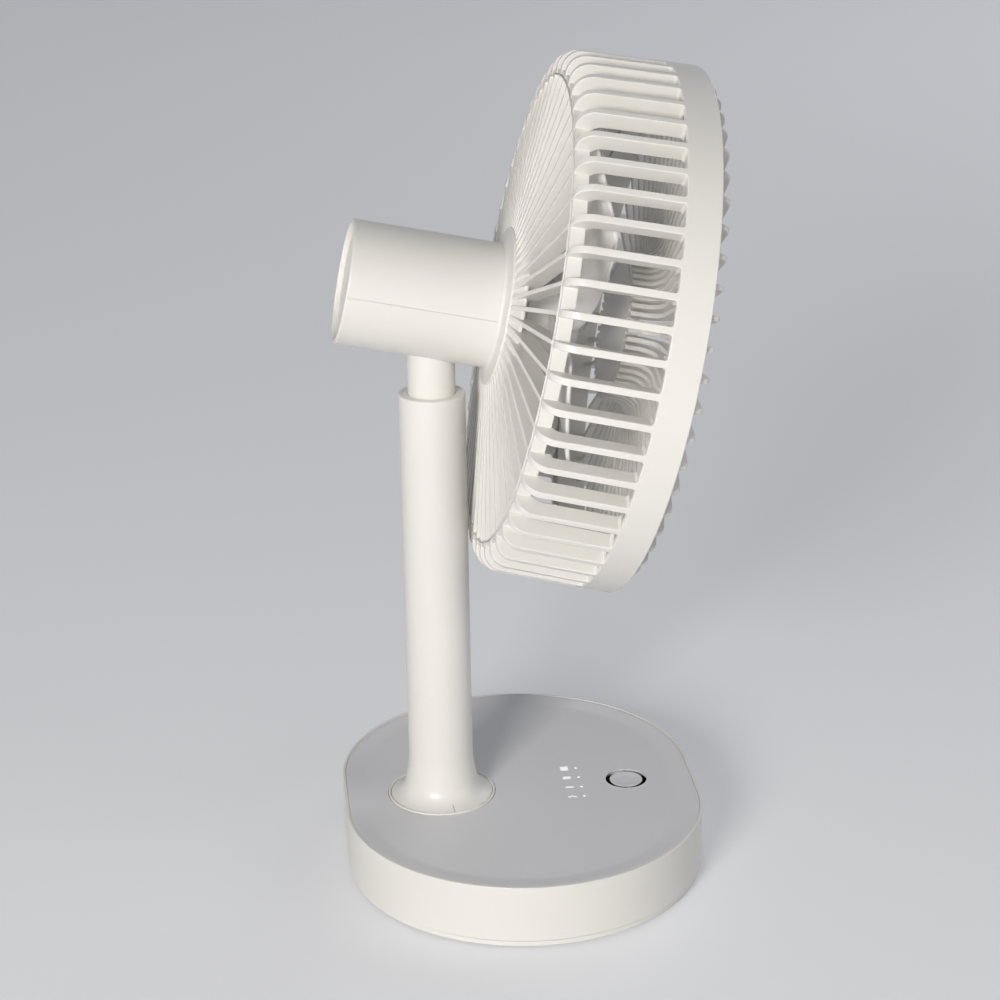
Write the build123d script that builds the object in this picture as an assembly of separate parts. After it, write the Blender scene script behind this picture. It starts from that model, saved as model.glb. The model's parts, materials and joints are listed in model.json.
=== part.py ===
import math
import os

from build123d import *

os.makedirs("parts", exist_ok=True)

# Gaps between pieces
fit_gap = 0.05  # pieces pressed or screwed into one another
run_gap = 0.06  # round pieces that turn or slide in one another
drop_gap = 0.25  # moulded pieces dropped into a recess
free_gap = 0.6  # pieces that pass each other without touching
cut_over = 1.0  # how far a cut runs past the face it opens
weld = 0.5  # how far a rib or post sinks into what it grows from

# Base: an oblong box with round ends, standing on pads
base_width = 190.0
base_length = 155.0
base_wall_height = 25.5
base_wall = 2.4
rim_width = 1.6
rim_chamfer = 0.5
ledge_width = 3.0
ledge_thickness = 2.0
cover_thickness = 2.0
cover_inset = 1.2
cover_rib_height = 3.0
cover_rib_width = 1.6
deck_drop = 1.4
deck_thickness = 2.0
deck_edge_drop = 0.5
deck_seam = 0.15
dish_outer_inset = 3.0
dish_inner_inset = 10.0
pad_radius = 8.0
pad_proud = 1.0
pad_recess = 0.8
pad_x = 52.0
pad_y = 48.0
cover_post_radius = 4.5
cover_post_x = 74.0
cover_post_y = 20.0

# Column and the mast that slides in it
column_y = 34.7
column_top = 211.7
column_radius = 14.0
column_bore = 12.3
column_rounding = 0.5
flare_radius = 23.5
flare_height = 17.0
flare_top_rounding = 30.0
flare_waist_width = 2.6
flare_waist_height = 2.2
flare_waist_rounding = 9.0
flange_radius = 28.5
flange_thickness = 3.1
clamp_ring_inner = 16.0
clamp_ring_outer = 38.0
clamp_ring_thickness = 2.0
clamp_screw_circle = 33.0
clamp_boss_radius = 3.6
bush_length = 20.0
bush_drop = 0.1
bush_chamfer = 0.2
mast_radius = 10.0
mast_wall = 1.2
mast_travel = 120.0
mast_exposed = 41.7  # from the column's top up to the tilt pin
mast_stop_length = 12.0
mast_stop_radius = 11.9
friction_ring_length = 6.0
stop_margin = 0.5

# Button, indicators and the boards under the deck
button_y = -47.6
button_radius = 7.8
button_hole_radius = 9.4
button_chamfer = 0.3
button_ear_reach = 10.8
button_ear_width = 3.0
button_ear_thickness = 1.2
button_ear_gap = 0.15
button_key_width = 1.6
button_key_drop = 0.3
button_stem_margin = 1.0
button_travel = 0.8
indicator_y = -26.9
indicator_pitch = 9.2
indicator_count = 4
indicator_radius = 1.1
led_length = 3.0
led_width = 1.6
led_height = 0.6
board_width = 76.0
board_length = 56.0
board_y = -38.0
board_thickness = 1.6
board_rounding = 4.0
board_z = 17.0
board_post_radius = 3.2
board_post_x = 33.0
board_post_reach = 22.0
switch_size = 6.0
switch_height = 3.6
switch_plunger_radius = 1.75
switch_plunger_height = 0.4

# Battery, ballast and charging socket
cell_radius = 9.2
cell_length = 65.0
cell_x = 50.0
cell_y = -17.5
cradle_width = 22.0
cradle_length = 70.0
cradle_height = 8.0
cradle_floor = 1.0
ballast_width = 70.0
ballast_length = 56.0
ballast_thickness = 6.0
ballast_y = -35.0
ballast_rounding = 8.0
socket_z = 12.0
socket_width = 8.94
socket_height = 3.26
socket_depth = 7.4
socket_wall = 0.3
socket_back = 1.0
socket_drop = 0.6
tongue_width = 6.7
tongue_height = 0.7
tongue_length = 5.0
socket_board_width = 20.0
socket_board_length = 16.0
socket_post_radius = 2.5
socket_post_x = 6.5

# Screws
screw_radius = 1.25
screw_head_radius = 2.6
screw_head_height = 1.2
screw_hole = 1.6
screw_head_hole = 2.9
screw_bite = 8.0
screw_end_gap = 0.5
screw_sides = 6
peg_sides = 8

# Tilt joint: everything on the head is measured ahead of the tilt pin
rest_tilt = 12.0
tilt_up = 27.0
tilt_margin = 1.0
pin_radius = 2.5
pin_length = 32.0
pin_chamfer = 0.4
pin_end_gap = 0.5
knuckle_width = 12.0
knuckle_radius = 7.0
knuckle_shoulder = 20.0
knuckle_flange = 1.5
knuckle_plug_length = 16.0
washer_radius = 6.0
washer_thickness = 2.3
washer_gap = 0.1
swing_headroom = 6.0

# Motor housing in two halves
housing_radius = 25.85
housing_wall = 2.0
housing_front = 26.2
housing_rear = -36.1
housing_rounding = 0.7
parting_gap = 0.1
cap_drop = 2.2
cap_thickness = 2.0
cap_dish = 1.0
cap_ledge = 2.4
saddle_reach = 7.0
saddle_height = 8.0
housing_screw_x = 5.0
housing_screw_ahead = -27.6
housing_boss_radius = 4.1
housing_screw_seat = -10.0

# Motor
motor_radius = 17.5
motor_rear = 16.5
motor_front = 30.0
motor_rounding = 1.5
motor_boss_radius = 5.0
motor_boss_front = 33.0
mount_thickness = 2.0
mount_radius = 19.2
motor_screw_circle = 9.0
motor_screw_length = 6.0
guard_screw_circle = 13.5
guard_screw_count = 3
shaft_radius = 1.6
shaft_rear = 14.5
shaft_front = 65.0

# Rear guard: hub, rear ribs, ring, side ribs and front band
guard_rib_count = 54
guard_rib_phase = 1.4
spigot_inner = 19.5
spigot_rear = 21.0
clamp_rib_rear = 23.0
clamp_rib_width = 1.5
clamp_rib_depth = 1.4
hub_flare_radius = 31.3
hub_flare_front = 30.3
hub_flare_rounding = 3.2
hub_flare_edge = 1.0
hub_lip = 0.3
hub_radius = 43.0
hub_edge_front = 32.4
hub_front = 35.2
hub_hole = 6.0
rear_rib_thickness = 1.8
rear_rib_depth = 5.6
ring_inner = 94.6
ring_outer = 97.0
ring_rear = 36.2
ring_weld = 0.8
ring_proud = 0.1
drum_rear = 36.6
drum_corner = 8.0
drum_corner_inner = 5.0
drum_front = 92.3
drum_radius = 110.4
drum_shoulder_radius = 108.2
side_rib_thickness = 3.0
side_rib_depth = 7.0
rear_corner_depth = 5.4
groove_depth = 0.6
groove_outer = 98.3
slot_end = 78.3
band_wall = 2.6
band_chamfer = 0.8

# Front guard: ring inside the band, ribs and a hub set back in a well
grille_rib_count = 56
grille_rib_phase = -0.7
grille_rib_thickness = 2.0
grille_ring_width = 2.5
grille_ring_rear = 80.0
grille_front = 96.9
grille_crown = 0.8
grille_shoulder = 4.2
grille_rib_back = 90.2
grille_well_radius = 25.5
grille_well_rounding = 15.0
grille_rib_depth = 6.0
grille_rib_foot = 4.0
grille_rib_bend = 6.0
grille_rib_lean = 0.6
grille_hub_rear = 78.0
grille_hub_front = 83.0
grille_hub_floor = 2.4
grille_hub_wall = 2.4
grille_hub_lip = 0.8
front_cap_radius = 22.8
front_cap_thickness = 1.8
front_cap_dish = 1.0
front_cap_rim = 3.0
front_cap_slope = 6.0
grille_screw_ahead = 86.0
grille_screw_web = 1.0

# Impeller
blade_count = 6
blade_phase = 11.0
blade_tip_radius = 96.0
blade_ahead = 51.0
blade_thickness = 1.6
blade_root_pitch = 22.0
blade_tip_pitch = 11.5
blade_root_section = 14.0
blade_half_chord = 30.0
blade_margin = 2.0
blade_touch = 0.01
blade_corner = 9.0
blade_leading_edge = [(13.0, -8.0), (60.0, -18.0), (100.0, -27.0)]
blade_trailing_edge = [(100.0, 26.0), (60.0, 26.5), (35.0, 24.5), (9.0, 16.0)]
impeller_hub_radius = 20.0
impeller_hub_wall = 2.0
impeller_hub_rear = 38.2
impeller_hub_front = 61.0
impeller_hub_rounding = 3.0
impeller_boss_radius = 4.5
impeller_boss_rear = 42.0
nut_radius = 5.0
nut_length = 5.5
nut_rounding = 2.5

# Levels and half sizes that follow from the sizes above
cover_z = pad_proud
wall_z = cover_z + cover_thickness
rim_z = wall_z + base_wall_height
deck_z = rim_z - deck_drop
deck_under = deck_z - deck_thickness
column_z = deck_under - flange_thickness
bush_top = column_top - bush_drop
bush_bottom = bush_top - bush_length
mast_bottom = bush_bottom - stop_margin - mast_travel - mast_stop_length
pivot_z = column_top + mast_exposed
mast_top = pivot_z - knuckle_shoulder - knuckle_flange
housing_bore = housing_radius - housing_wall
cap_front = housing_rear + cap_drop + cap_thickness
saddle_inner = knuckle_width / 2 + washer_thickness + 2 * washer_gap
screw_pilot = screw_radius + fit_gap
board_top = board_z + board_thickness
switch_top = board_top + switch_height + switch_plunger_height
mount_front = motor_front + mount_thickness
band_bore = drum_radius - band_wall - (drum_radius - drum_shoulder_radius) / 4
grille_ring_outer = band_bore - drop_gap
side_slope = (drum_radius - drum_shoulder_radius) / (drum_front - drum_rear)

# Planes and placings
meridian = Plane(origin=(0, 0, 0), x_dir=(1, 0, 0), z_dir=(0, 0, -1))
column_axis = Pos(0, column_y, 0)
pivot = Pos(0, column_y, pivot_z)
head = pivot * Rot(rest_tilt, 0, 0)
lowest = (Align.CENTER, Align.CENTER, Align.MIN)


def post(x, y, radius, low, high):
    """Upright cylinder between two heights."""
    return Pos(x, y, low) * Cylinder(radius, high - low, align=lowest)


def peg(x, y, radius, low, high):
    """Upright eight-sided boss or screw hole between two heights."""
    return Pos(x, y, low) * extrude(RegularPolygon(radius, peg_sides, major_radius=False), high - low)


def base_outline(inset):
    """The base's oblong outline, drawn in all round by an inset."""
    return SlotOverall(base_width - 2 * inset, base_length - 2 * inset)


def prism(outline, low, high):
    """A flat outline raised between two heights."""
    return extrude(Pos(0, 0, low) * outline, high - low)


def eased(before, corner, after):
    """Points that round a corner off in a few flats."""
    here = Vector(*corner[:2])
    back = (Vector(*before[:2]) - here).normalized()
    onward = (Vector(*after[:2]) - here).normalized()
    rounding, flats = corner[2:]
    half = math.radians(back.get_angle(onward)) / 2
    centre = here + (back + onward).normalized() * (rounding / math.sin(half))
    start = here + back * (rounding / math.tan(half)) - centre
    finish = here + onward * (rounding / math.tan(half)) - centre
    turn = math.pi - 2 * half
    points = []
    for step in range(flats + 1):
        swept = turn * step / flats
        near_start = math.sin(turn - swept) / math.sin(turn)
        near_finish = math.sin(swept) / math.sin(turn)
        point = centre + start * near_start + finish * near_finish
        points.append((point.X, point.Y))
    return points


def face_of(corners):
    """Closed face through corners: across, along and, where eased, a rounding and its flats."""
    points = []
    for index, corner in enumerate(corners):
        if len(corner) == 2:
            points.append(corner)
        else:
            points += eased(corners[index - 1], corner, corners[(index + 1) % len(corners)])
    return make_face(Polyline(*points, close=True))


def upright(*corners):
    """Turned piece about the vertical axis from radius and height corners."""
    return revolve(Plane.XZ * face_of(corners), Axis.Z)


def turned(*corners):
    """Turned piece about the head's axis from radius and ahead corners."""
    return revolve(meridian * face_of(corners), Axis.Y)


def rib(thickness, *corners):
    """Radial rib of the head, standing on the meridian plane."""
    return extrude(meridian * face_of(corners), thickness / 2, both=True)


def around(shape, count, phase):
    """Copies of a head piece spaced evenly about the head's axis."""
    return [shape.rotate(Axis.Y, phase + step * 360 / count) for step in range(count)]


def screw(length):
    """Hexagon-head screw standing on its head, with the head's underside at zero."""
    head_block = extrude(RegularPolygon(screw_head_radius, screw_sides), -screw_head_height)
    return head_block + extrude(RegularPolygon(screw_radius, screw_sides), length)


def corners_of(x, y):
    """The four places mirrored about both centre lines."""
    return [(x, y), (-x, y), (-x, -y), (x, -y)]


def save(name, shape):
    """Write one named piece, or a group of like pieces."""
    if isinstance(shape, list):
        shape = Compound(children=[item.solid() for item in shape])
    export_step(shape, f"parts/{name}.step")


# Base shell: the side wall, with a ledge that carries the deck
base_shell = prism(base_outline(0), wall_z, rim_z)
base_shell = chamfer(base_shell.edges().group_by(Axis.Z)[-1], rim_chamfer)
base_shell -= prism(base_outline(base_wall), wall_z, deck_under - ledge_thickness)
base_shell -= prism(base_outline(rim_width + ledge_width), deck_under - ledge_thickness, deck_under)
base_shell -= prism(base_outline(rim_width), deck_under, rim_z)
socket_outline = SlotOverall(socket_width + 2 * drop_gap, socket_height + 2 * drop_gap)
rear_face = Plane(origin=(0, base_length / 2, socket_z), x_dir=(-1, 0, 0), z_dir=(0, 1, 0))
base_shell -= extrude(rear_face * socket_outline, base_wall + cut_over, both=True)
save("base_shell", base_shell)

# Bottom cover with a locating rib, pad recesses and socket posts
screw_places = corners_of(cover_post_x, cover_post_y)
pad_places = corners_of(pad_x, pad_y)
rib_inset = base_wall + drop_gap
socket_board_y = base_length / 2 - base_wall - socket_board_length / 2
socket_board_z = socket_z - socket_height / 2 - board_thickness
bottom_cover = prism(base_outline(cover_inset), cover_z, wall_z)
locating_rib = prism(base_outline(rib_inset), wall_z, wall_z + cover_rib_height)
locating_rib -= prism(base_outline(rib_inset + cover_rib_width), wall_z, wall_z + cover_rib_height)
bottom_cover += locating_rib
for x in (-socket_post_x, socket_post_x):
    bottom_cover += peg(x, socket_board_y, socket_post_radius, wall_z, socket_board_z)
for x, y in screw_places:
    bottom_cover -= peg(x, y, screw_hole, cover_z, wall_z)
    bottom_cover -= peg(x, y, screw_head_hole, cover_z, cover_z + screw_head_height)
for x, y in pad_places:
    bottom_cover -= post(x, y, pad_radius + fit_gap, cover_z, cover_z + pad_recess)
save("base_bottom_cover", bottom_cover)

pads = [post(x, y, pad_radius, 0, cover_z + pad_recess) for x, y in pad_places]
save("rubber_feet", pads)

cover_seat = cover_z + screw_head_height
cover_screws = [Pos(x, y, cover_seat) * screw(screw_bite) for x, y in screw_places]
save("base_screws", cover_screws)

# Deck: dished top plate with posts for the cover, the board and the column clamp
deck_top = rim_z - deck_edge_drop
deck_inset = rim_width + deck_seam
deck = prism(base_outline(deck_inset), deck_under, deck_top)
dish_rim = Pos(0, 0, deck_top) * base_outline(dish_outer_inset)
dish_floor = Pos(0, 0, deck_z) * base_outline(dish_inner_inset)
deck -= loft([dish_floor, dish_rim], ruled=True)
deck -= column_axis * post(0, 0, flare_radius + drop_gap, deck_under, deck_z)
deck -= post(0, button_y, button_hole_radius, deck_under, deck_z)
key_length = 2 * (button_hole_radius + weld)
keys = Box(key_length, button_key_width, deck_thickness - button_key_drop, align=lowest)
deck += Pos(0, button_y, deck_under) * keys - post(0, button_y, button_radius + drop_gap, deck_under, deck_z)
indicator_span = (indicator_count - 1) * indicator_pitch
indicator_places = [step * indicator_pitch - indicator_span / 2 for step in range(indicator_count)]
for x in indicator_places:
    deck -= post(x, indicator_y, indicator_radius + fit_gap, deck_under, deck_z)
for x, y in screw_places:
    deck += peg(x, y, cover_post_radius, wall_z, deck_under)
    deck -= peg(x, y, screw_pilot, wall_z, cover_seat + screw_bite + screw_end_gap)
board_places = [(x, board_y + y) for x, y in corners_of(board_post_x, board_post_reach)]
for x, y in board_places:
    deck += peg(x, y, board_post_radius, board_top, deck_under)
    deck -= peg(x, y, screw_pilot, board_top, deck_under - screw_end_gap)
clamp_places = []
for quarter in range(4):
    turn = math.radians(45 + 90 * quarter)
    across = clamp_screw_circle * math.cos(turn)
    along = clamp_screw_circle * math.sin(turn)
    clamp_places.append((across, column_y + along))
for x, y in clamp_places:
    deck += peg(x, y, clamp_boss_radius, column_z, deck_under)
    deck -= peg(x, y, screw_pilot, column_z, deck_under + screw_end_gap)
save("base_top_plate", deck)

# Column with a flared foot, held up against the deck by a clamp ring
column = upright(
    (column_bore, column_z),
    (flange_radius, column_z),
    (flange_radius, deck_under),
    (flare_radius, deck_under),
    (flare_radius, deck_z),
    (column_radius + flare_waist_width, deck_z + flare_waist_height, flare_waist_rounding, 3),
    (column_radius, deck_z + flare_height, flare_top_rounding, 2),
    (column_radius, column_top, column_rounding, 2),
    (column_bore, column_top),
)
save("column", column_axis * column)

ring_low = column_z - clamp_ring_thickness
clamp_ring = column_axis * post(0, 0, clamp_ring_outer, ring_low, column_z)
clamp_ring -= column_axis * post(0, 0, clamp_ring_inner, ring_low, column_z)
for x, y in clamp_places:
    clamp_ring -= peg(x, y, screw_hole, ring_low, column_z)
save("column_clamp_ring", clamp_ring)

clamp_bite = clamp_ring_thickness + flange_thickness
save("column_clamp_screws", [Pos(x, y, ring_low) * screw(clamp_bite) for x, y in clamp_places])

guide_bush = upright(
    (mast_radius + run_gap, bush_bottom),
    (column_bore - fit_gap, bush_bottom),
    (column_bore - fit_gap, bush_top),
    (mast_radius + run_gap, bush_top, bush_chamfer, 1),
)
save("column_guide_bush", column_axis * guide_bush)

# Mast tube with a stop ring and a friction ring at its foot
mast_tube = upright(
    (mast_radius - mast_wall, mast_bottom),
    (mast_radius, mast_bottom),
    (mast_radius, mast_top),
    (mast_radius - mast_wall, mast_top),
)
save("mast_tube", column_axis * mast_tube)


def mast_ring(outer, low, high):
    """Plain ring pressed on the mast tube."""
    return column_axis * (post(0, 0, outer, low, high) - post(0, 0, mast_radius + fit_gap, low, high))


friction_top = mast_bottom + friction_ring_length
save("mast_friction_ring", mast_ring(column_bore - run_gap, mast_bottom, friction_top))
save("mast_stop_ring", mast_ring(mast_stop_radius, friction_top, mast_bottom + mast_stop_length))

# Tilt knuckle on the mast, with its pin and washers
knuckle_side = Plane.YZ * (Circle(knuckle_radius) + Pos(0, -knuckle_shoulder / 2) * Rectangle(
    2 * knuckle_radius, knuckle_shoulder))
knuckle = extrude(knuckle_side, knuckle_width / 2, both=True)
knuckle += post(0, 0, mast_radius, -knuckle_shoulder - knuckle_flange, -knuckle_shoulder)
plug_top = -knuckle_shoulder - knuckle_flange
knuckle += post(0, 0, mast_radius - mast_wall - fit_gap, plug_top - knuckle_plug_length, plug_top)
knuckle -= extrude(Plane.YZ * Circle(pin_radius + fit_gap), knuckle_width, both=True)
save("tilt_knuckle", pivot * knuckle)

tilt_pin = extrude(Plane.YZ * Circle(pin_radius), pin_length / 2, both=True)
save("tilt_pin", pivot * chamfer(tilt_pin.edges(), pin_chamfer))

washer_face = Circle(washer_radius) - Circle(pin_radius + fit_gap)
washer = extrude(Plane.YZ.offset(knuckle_width / 2 + washer_gap) * washer_face, washer_thickness)
save("tilt_washers", [pivot * washer, pivot * mirror(washer, Plane.YZ)])

# Motor housing: two halves that close on the tilt pin and on the guard's spigot
clamp_rib_inner = housing_bore - clamp_rib_depth
clamp_rib_front = clamp_rib_rear + clamp_rib_width
barrel = turned(
    (housing_bore, clamp_rib_front),
    (housing_bore, housing_front),
    (housing_radius, housing_front),
    (housing_radius, housing_rear, housing_rounding, 1),
    (housing_bore, housing_rear, housing_rounding, 1),
    (housing_bore, cap_front),
    (housing_bore - cap_ledge, cap_front),
    (housing_bore - cap_ledge, cap_front + cap_thickness),
    (housing_bore, cap_front + cap_thickness),
    (housing_bore, clamp_rib_rear),
    (clamp_rib_inner, clamp_rib_rear),
    (clamp_rib_inner, clamp_rib_front),
)
barrel_core = turned(
    (0, housing_front),
    (housing_bore + weld, housing_front),
    (housing_bore + weld, cap_front),
    (0, cap_front),
)
housing_screws_at = [(-housing_screw_x, -housing_screw_ahead), (housing_screw_x, -housing_screw_ahead)]
saddle_width = housing_radius - saddle_inner
fittings = []
for side in (-1, 1):
    saddle_x = side * (saddle_inner + saddle_width / 2)
    fittings.append(Pos(saddle_x, 0, 0) * Box(saddle_width, 2 * saddle_reach, 2 * saddle_height))
for x, y in housing_screws_at:
    fittings.append(peg(x, y, housing_boss_radius, -housing_radius, housing_radius))
fittings = fittings[0].fuse(*fittings[1:]) & barrel_core
housing = barrel + fittings
housing -= extrude(Plane.YZ * Circle(pin_radius + run_gap), pin_length / 2 + pin_end_gap, both=True)
half_block = Box(4 * housing_radius, 8 * housing_radius, 2 * housing_radius, align=lowest)
half_space = Pos(0, 0, parting_gap / 2) * half_block
housing_upper = housing & half_space
housing_lower = housing & mirror(half_space, Plane.XY)
for x, y in housing_screws_at:
    housing_upper -= peg(x, y, screw_pilot, 0, screw_bite + screw_end_gap)
    housing_lower -= peg(x, y, screw_hole, housing_screw_seat, 0)
    housing_lower -= peg(x, y, screw_head_hole, -housing_radius, housing_screw_seat)
save("housing_upper", head * housing_upper)

# Opening in the lower half for the mast's swing
swing_radius = mast_radius + free_gap
swing_top = swing_headroom - knuckle_shoulder
swing_low = -2 * housing_radius
swing_ends = (-rest_tilt - tilt_margin, tilt_up + tilt_margin)
swing_points = []
for angle in swing_ends:
    turn = math.radians(angle)
    swing_points.append((-swing_top * math.sin(turn), swing_top * math.cos(turn)))
    swing_points.append((-swing_low * math.sin(turn), swing_low * math.cos(turn)))
swing_order = [swing_points[0], swing_points[1], swing_points[3], swing_points[2]]
swing = extrude(Plane.YZ * make_face(Polyline(*swing_order, close=True)), swing_radius, both=True)
for angle in swing_ends:
    swing += Rot(angle, 0, 0) * post(0, 0, swing_radius, swing_low, swing_top)
housing_lower -= swing
save("housing_lower", head * housing_lower)

screw_reach = -housing_screw_seat + screw_bite
housing_screw = Pos(0, 0, housing_screw_seat) * screw(screw_reach)
save("housing_screws", [head * Pos(x, y, 0) * housing_screw for x, y in housing_screws_at])

rear_cap = turned(
    (0, cap_front),
    (housing_bore - drop_gap, cap_front),
    (housing_bore - drop_gap, cap_front - cap_thickness),
    (housing_bore - cap_ledge, cap_front - cap_thickness),
    (housing_bore - 3 * cap_ledge, cap_front - cap_thickness + cap_dish),
    (0, cap_front - cap_thickness + cap_dish),
)
save("rear_cap", head * rear_cap)

# Motor, its mount plate and screws
motor = turned(
    (shaft_radius + run_gap, motor_rear),
    (motor_radius, motor_rear, motor_rounding, 1),
    (motor_radius, motor_front),
    (motor_boss_radius, motor_front),
    (motor_boss_radius, motor_boss_front),
    (shaft_radius + run_gap, motor_boss_front),
)
forward = Rot(90, 0, 0)
motor_screw_seat = mount_front - screw_head_height
motor_hole_end = motor_screw_seat - motor_screw_length - screw_end_gap
motor_screws = []
for x in (-motor_screw_circle, motor_screw_circle):
    motor -= forward * peg(x, 0, screw_pilot, motor_hole_end, mount_front)
    motor_screws.append(head * Pos(x, -motor_screw_seat, 0) * Rot(-90, 0, 0) * screw(motor_screw_length))
save("motor", head * motor)
save("motor_screws", motor_screws)

guard_screw_length = hub_front - motor_front - fit_gap
mount_plate = turned(
    (motor_boss_radius + drop_gap, motor_front),
    (mount_radius, motor_front),
    (mount_radius, mount_front),
    (motor_boss_radius + drop_gap, mount_front),
)
for x in (-motor_screw_circle, motor_screw_circle):
    mount_plate -= forward * peg(x, 0, screw_hole, motor_front, mount_front)
    mount_plate -= forward * peg(x, 0, screw_head_hole, motor_screw_seat, mount_front)
pilot = forward * peg(0, guard_screw_circle, screw_pilot, motor_front, hub_front)
for hole in around(pilot, guard_screw_count, 0):
    mount_plate -= hole
save("motor_mount_plate", head * mount_plate)

# Rear guard: one moulding of hub, ring, band and ribs
spigot_outer = housing_bore - drop_gap
spigot_groove = clamp_rib_inner - drop_gap
guard_hub = turned(
    (hub_hole, mount_front),
    (spigot_inner, mount_front),
    (spigot_inner, spigot_rear),
    (spigot_outer, spigot_rear),
    (spigot_outer, clamp_rib_rear - drop_gap),
    (spigot_groove, clamp_rib_rear - drop_gap),
    (spigot_groove, clamp_rib_front + drop_gap),
    (spigot_outer, clamp_rib_front + drop_gap),
    (spigot_outer, housing_front),
    (housing_radius, housing_front),
    (housing_radius + hub_lip, hub_flare_front - hub_lip, hub_flare_rounding, 3),
    (hub_flare_radius, hub_flare_front),
    (hub_flare_radius, hub_flare_front + hub_flare_edge),
    (hub_radius, hub_edge_front),
    (hub_radius, hub_front),
    (hub_hole, hub_front),
)
through = forward * peg(0, guard_screw_circle, screw_hole, mount_front, hub_front)
for hole in around(through, guard_screw_count, 0):
    guard_hub -= hole
ring_front = drum_rear + rear_corner_depth
ring_face = RegularPolygon(ring_outer, guard_rib_count) - RegularPolygon(ring_inner, guard_rib_count)
guard_ring = extrude(Plane.XZ.offset(ring_rear) * ring_face, ring_front - ring_rear)
guard_ring = guard_ring.rotate(Axis.Y, guard_rib_phase)
band_rear_radius = drum_radius - side_slope * (drum_front - slot_end)
guard_band = turned(
    (band_bore, slot_end),
    (band_rear_radius, slot_end),
    (drum_radius, drum_front, band_chamfer, 1),
    (band_bore, drum_front),
)
side_rib = rib(
    side_rib_thickness,
    (ring_inner + ring_weld, drum_rear + groove_depth),
    (groove_outer, drum_rear + groove_depth),
    (groove_outer, drum_rear),
    (drum_shoulder_radius, drum_rear, drum_corner, 3),
    (band_rear_radius, slot_end + weld),
    (band_rear_radius - side_rib_depth, slot_end + weld),
    (drum_shoulder_radius - side_rib_depth, ring_front, drum_corner_inner, 2),
    (ring_inner + ring_weld, ring_front),
)
rear_rib = rib(
    rear_rib_thickness,
    (hub_flare_radius - weld, hub_flare_front + weld),
    (ring_outer - weld, ring_rear + ring_proud),
    (ring_inner + ring_weld, ring_front),
    (hub_radius, hub_edge_front + rear_rib_depth),
    (hub_flare_radius, hub_front),
)
guard_ribs = around(side_rib, guard_rib_count, guard_rib_phase)
guard_ribs += around(rear_rib, guard_rib_count, guard_rib_phase)
rear_guard = guard_hub.fuse(guard_ring, guard_band, *guard_ribs)
grille_screw_seat = -band_bore - grille_screw_web
rear_guard -= peg(0, -grille_screw_ahead, screw_hole, grille_screw_seat, cut_over - band_bore)
rear_guard -= peg(0, -grille_screw_ahead, screw_head_hole, -drum_radius - cut_over, grille_screw_seat)
save("rear_guard", head * rear_guard)

guard_screw = Pos(0, -hub_front, guard_screw_circle) * Rot(-90, 0, 0) * screw(guard_screw_length)
save("guard_screws", [head * item for item in around(guard_screw, guard_screw_count, 0)])

# Front guard
grille_ring_inner = grille_ring_outer - grille_ring_width
grille_ring = turned(
    (grille_ring_inner, grille_ring_rear),
    (grille_ring_outer, grille_ring_rear),
    (grille_ring_outer, drum_front),
    (grille_ring_inner, drum_front),
)
grille_hub_outer = grille_well_radius + grille_hub_lip
grille_hub_inner = grille_hub_outer - grille_hub_wall
cap_seat = grille_hub_rear + grille_hub_floor
grille_hub = turned(
    (0, grille_hub_rear),
    (grille_hub_outer, grille_hub_rear),
    (grille_hub_outer, grille_hub_front),
    (grille_hub_inner, grille_hub_front),
    (grille_hub_inner, cap_seat),
    (0, cap_seat),
)
grille_rib_inner = grille_well_radius + grille_rib_depth
grille_rib = rib(
    grille_rib_thickness,
    (grille_ring_outer, grille_ring_rear + grille_rib_foot),
    (grille_ring_outer, grille_front, grille_shoulder, 3),
    (grille_well_radius, grille_front + grille_crown, grille_well_rounding, 4),
    (grille_well_radius, grille_hub_rear),
    (grille_rib_inner, grille_hub_rear),
    (grille_rib_inner + grille_rib_lean, grille_rib_back - grille_rib_bend),
    (grille_rib_inner + grille_rib_bend, grille_rib_back),
    (grille_ring_inner - grille_rib_foot, grille_rib_back),
    (grille_ring_inner + weld, grille_ring_rear + grille_rib_foot),
)
front_guard = grille_ring.fuse(grille_hub, *around(grille_rib, grille_rib_count, grille_rib_phase))
front_guard -= peg(0, -grille_screw_ahead, screw_pilot, -band_bore, cut_over - grille_ring_inner)
save("front_guard", head * front_guard)

grille_screw_length = -grille_screw_seat - grille_ring_inner
save("grille_screw", head * Pos(0, -grille_screw_ahead, grille_screw_seat) * screw(grille_screw_length))

cap_top = cap_seat + front_cap_thickness
front_cap = turned(
    (0, cap_seat),
    (front_cap_radius, cap_seat),
    (front_cap_radius, cap_top),
    (front_cap_radius - front_cap_rim, cap_top),
    (front_cap_radius - front_cap_rim - front_cap_slope, cap_top - front_cap_dish),
    (0, cap_top - front_cap_dish),
)
save("front_cap", head * front_cap)

# Shaft, impeller and nut
shaft = turned((0, shaft_rear), (shaft_radius, shaft_rear), (shaft_radius, shaft_front), (0, shaft_front))
save("motor_shaft", head * shaft)


def blade_section(radius, pitch):
    """Section of a blade at a radius, pitched to the head's axis."""
    plane = Plane(origin=(radius, 0, 0), x_dir=(0, 0, 1), z_dir=(1, 0, 0))
    rise = blade_half_chord * math.tan(math.radians(pitch))
    half = blade_thickness / 2
    front = [(-blade_half_chord, blade_ahead - rise + half), (blade_half_chord, blade_ahead + rise + half)]
    back = [(blade_half_chord, blade_ahead + rise - half), (-blade_half_chord, blade_ahead - rise - half)]
    return plane * make_face(Polyline(*front, *back, close=True))


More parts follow.
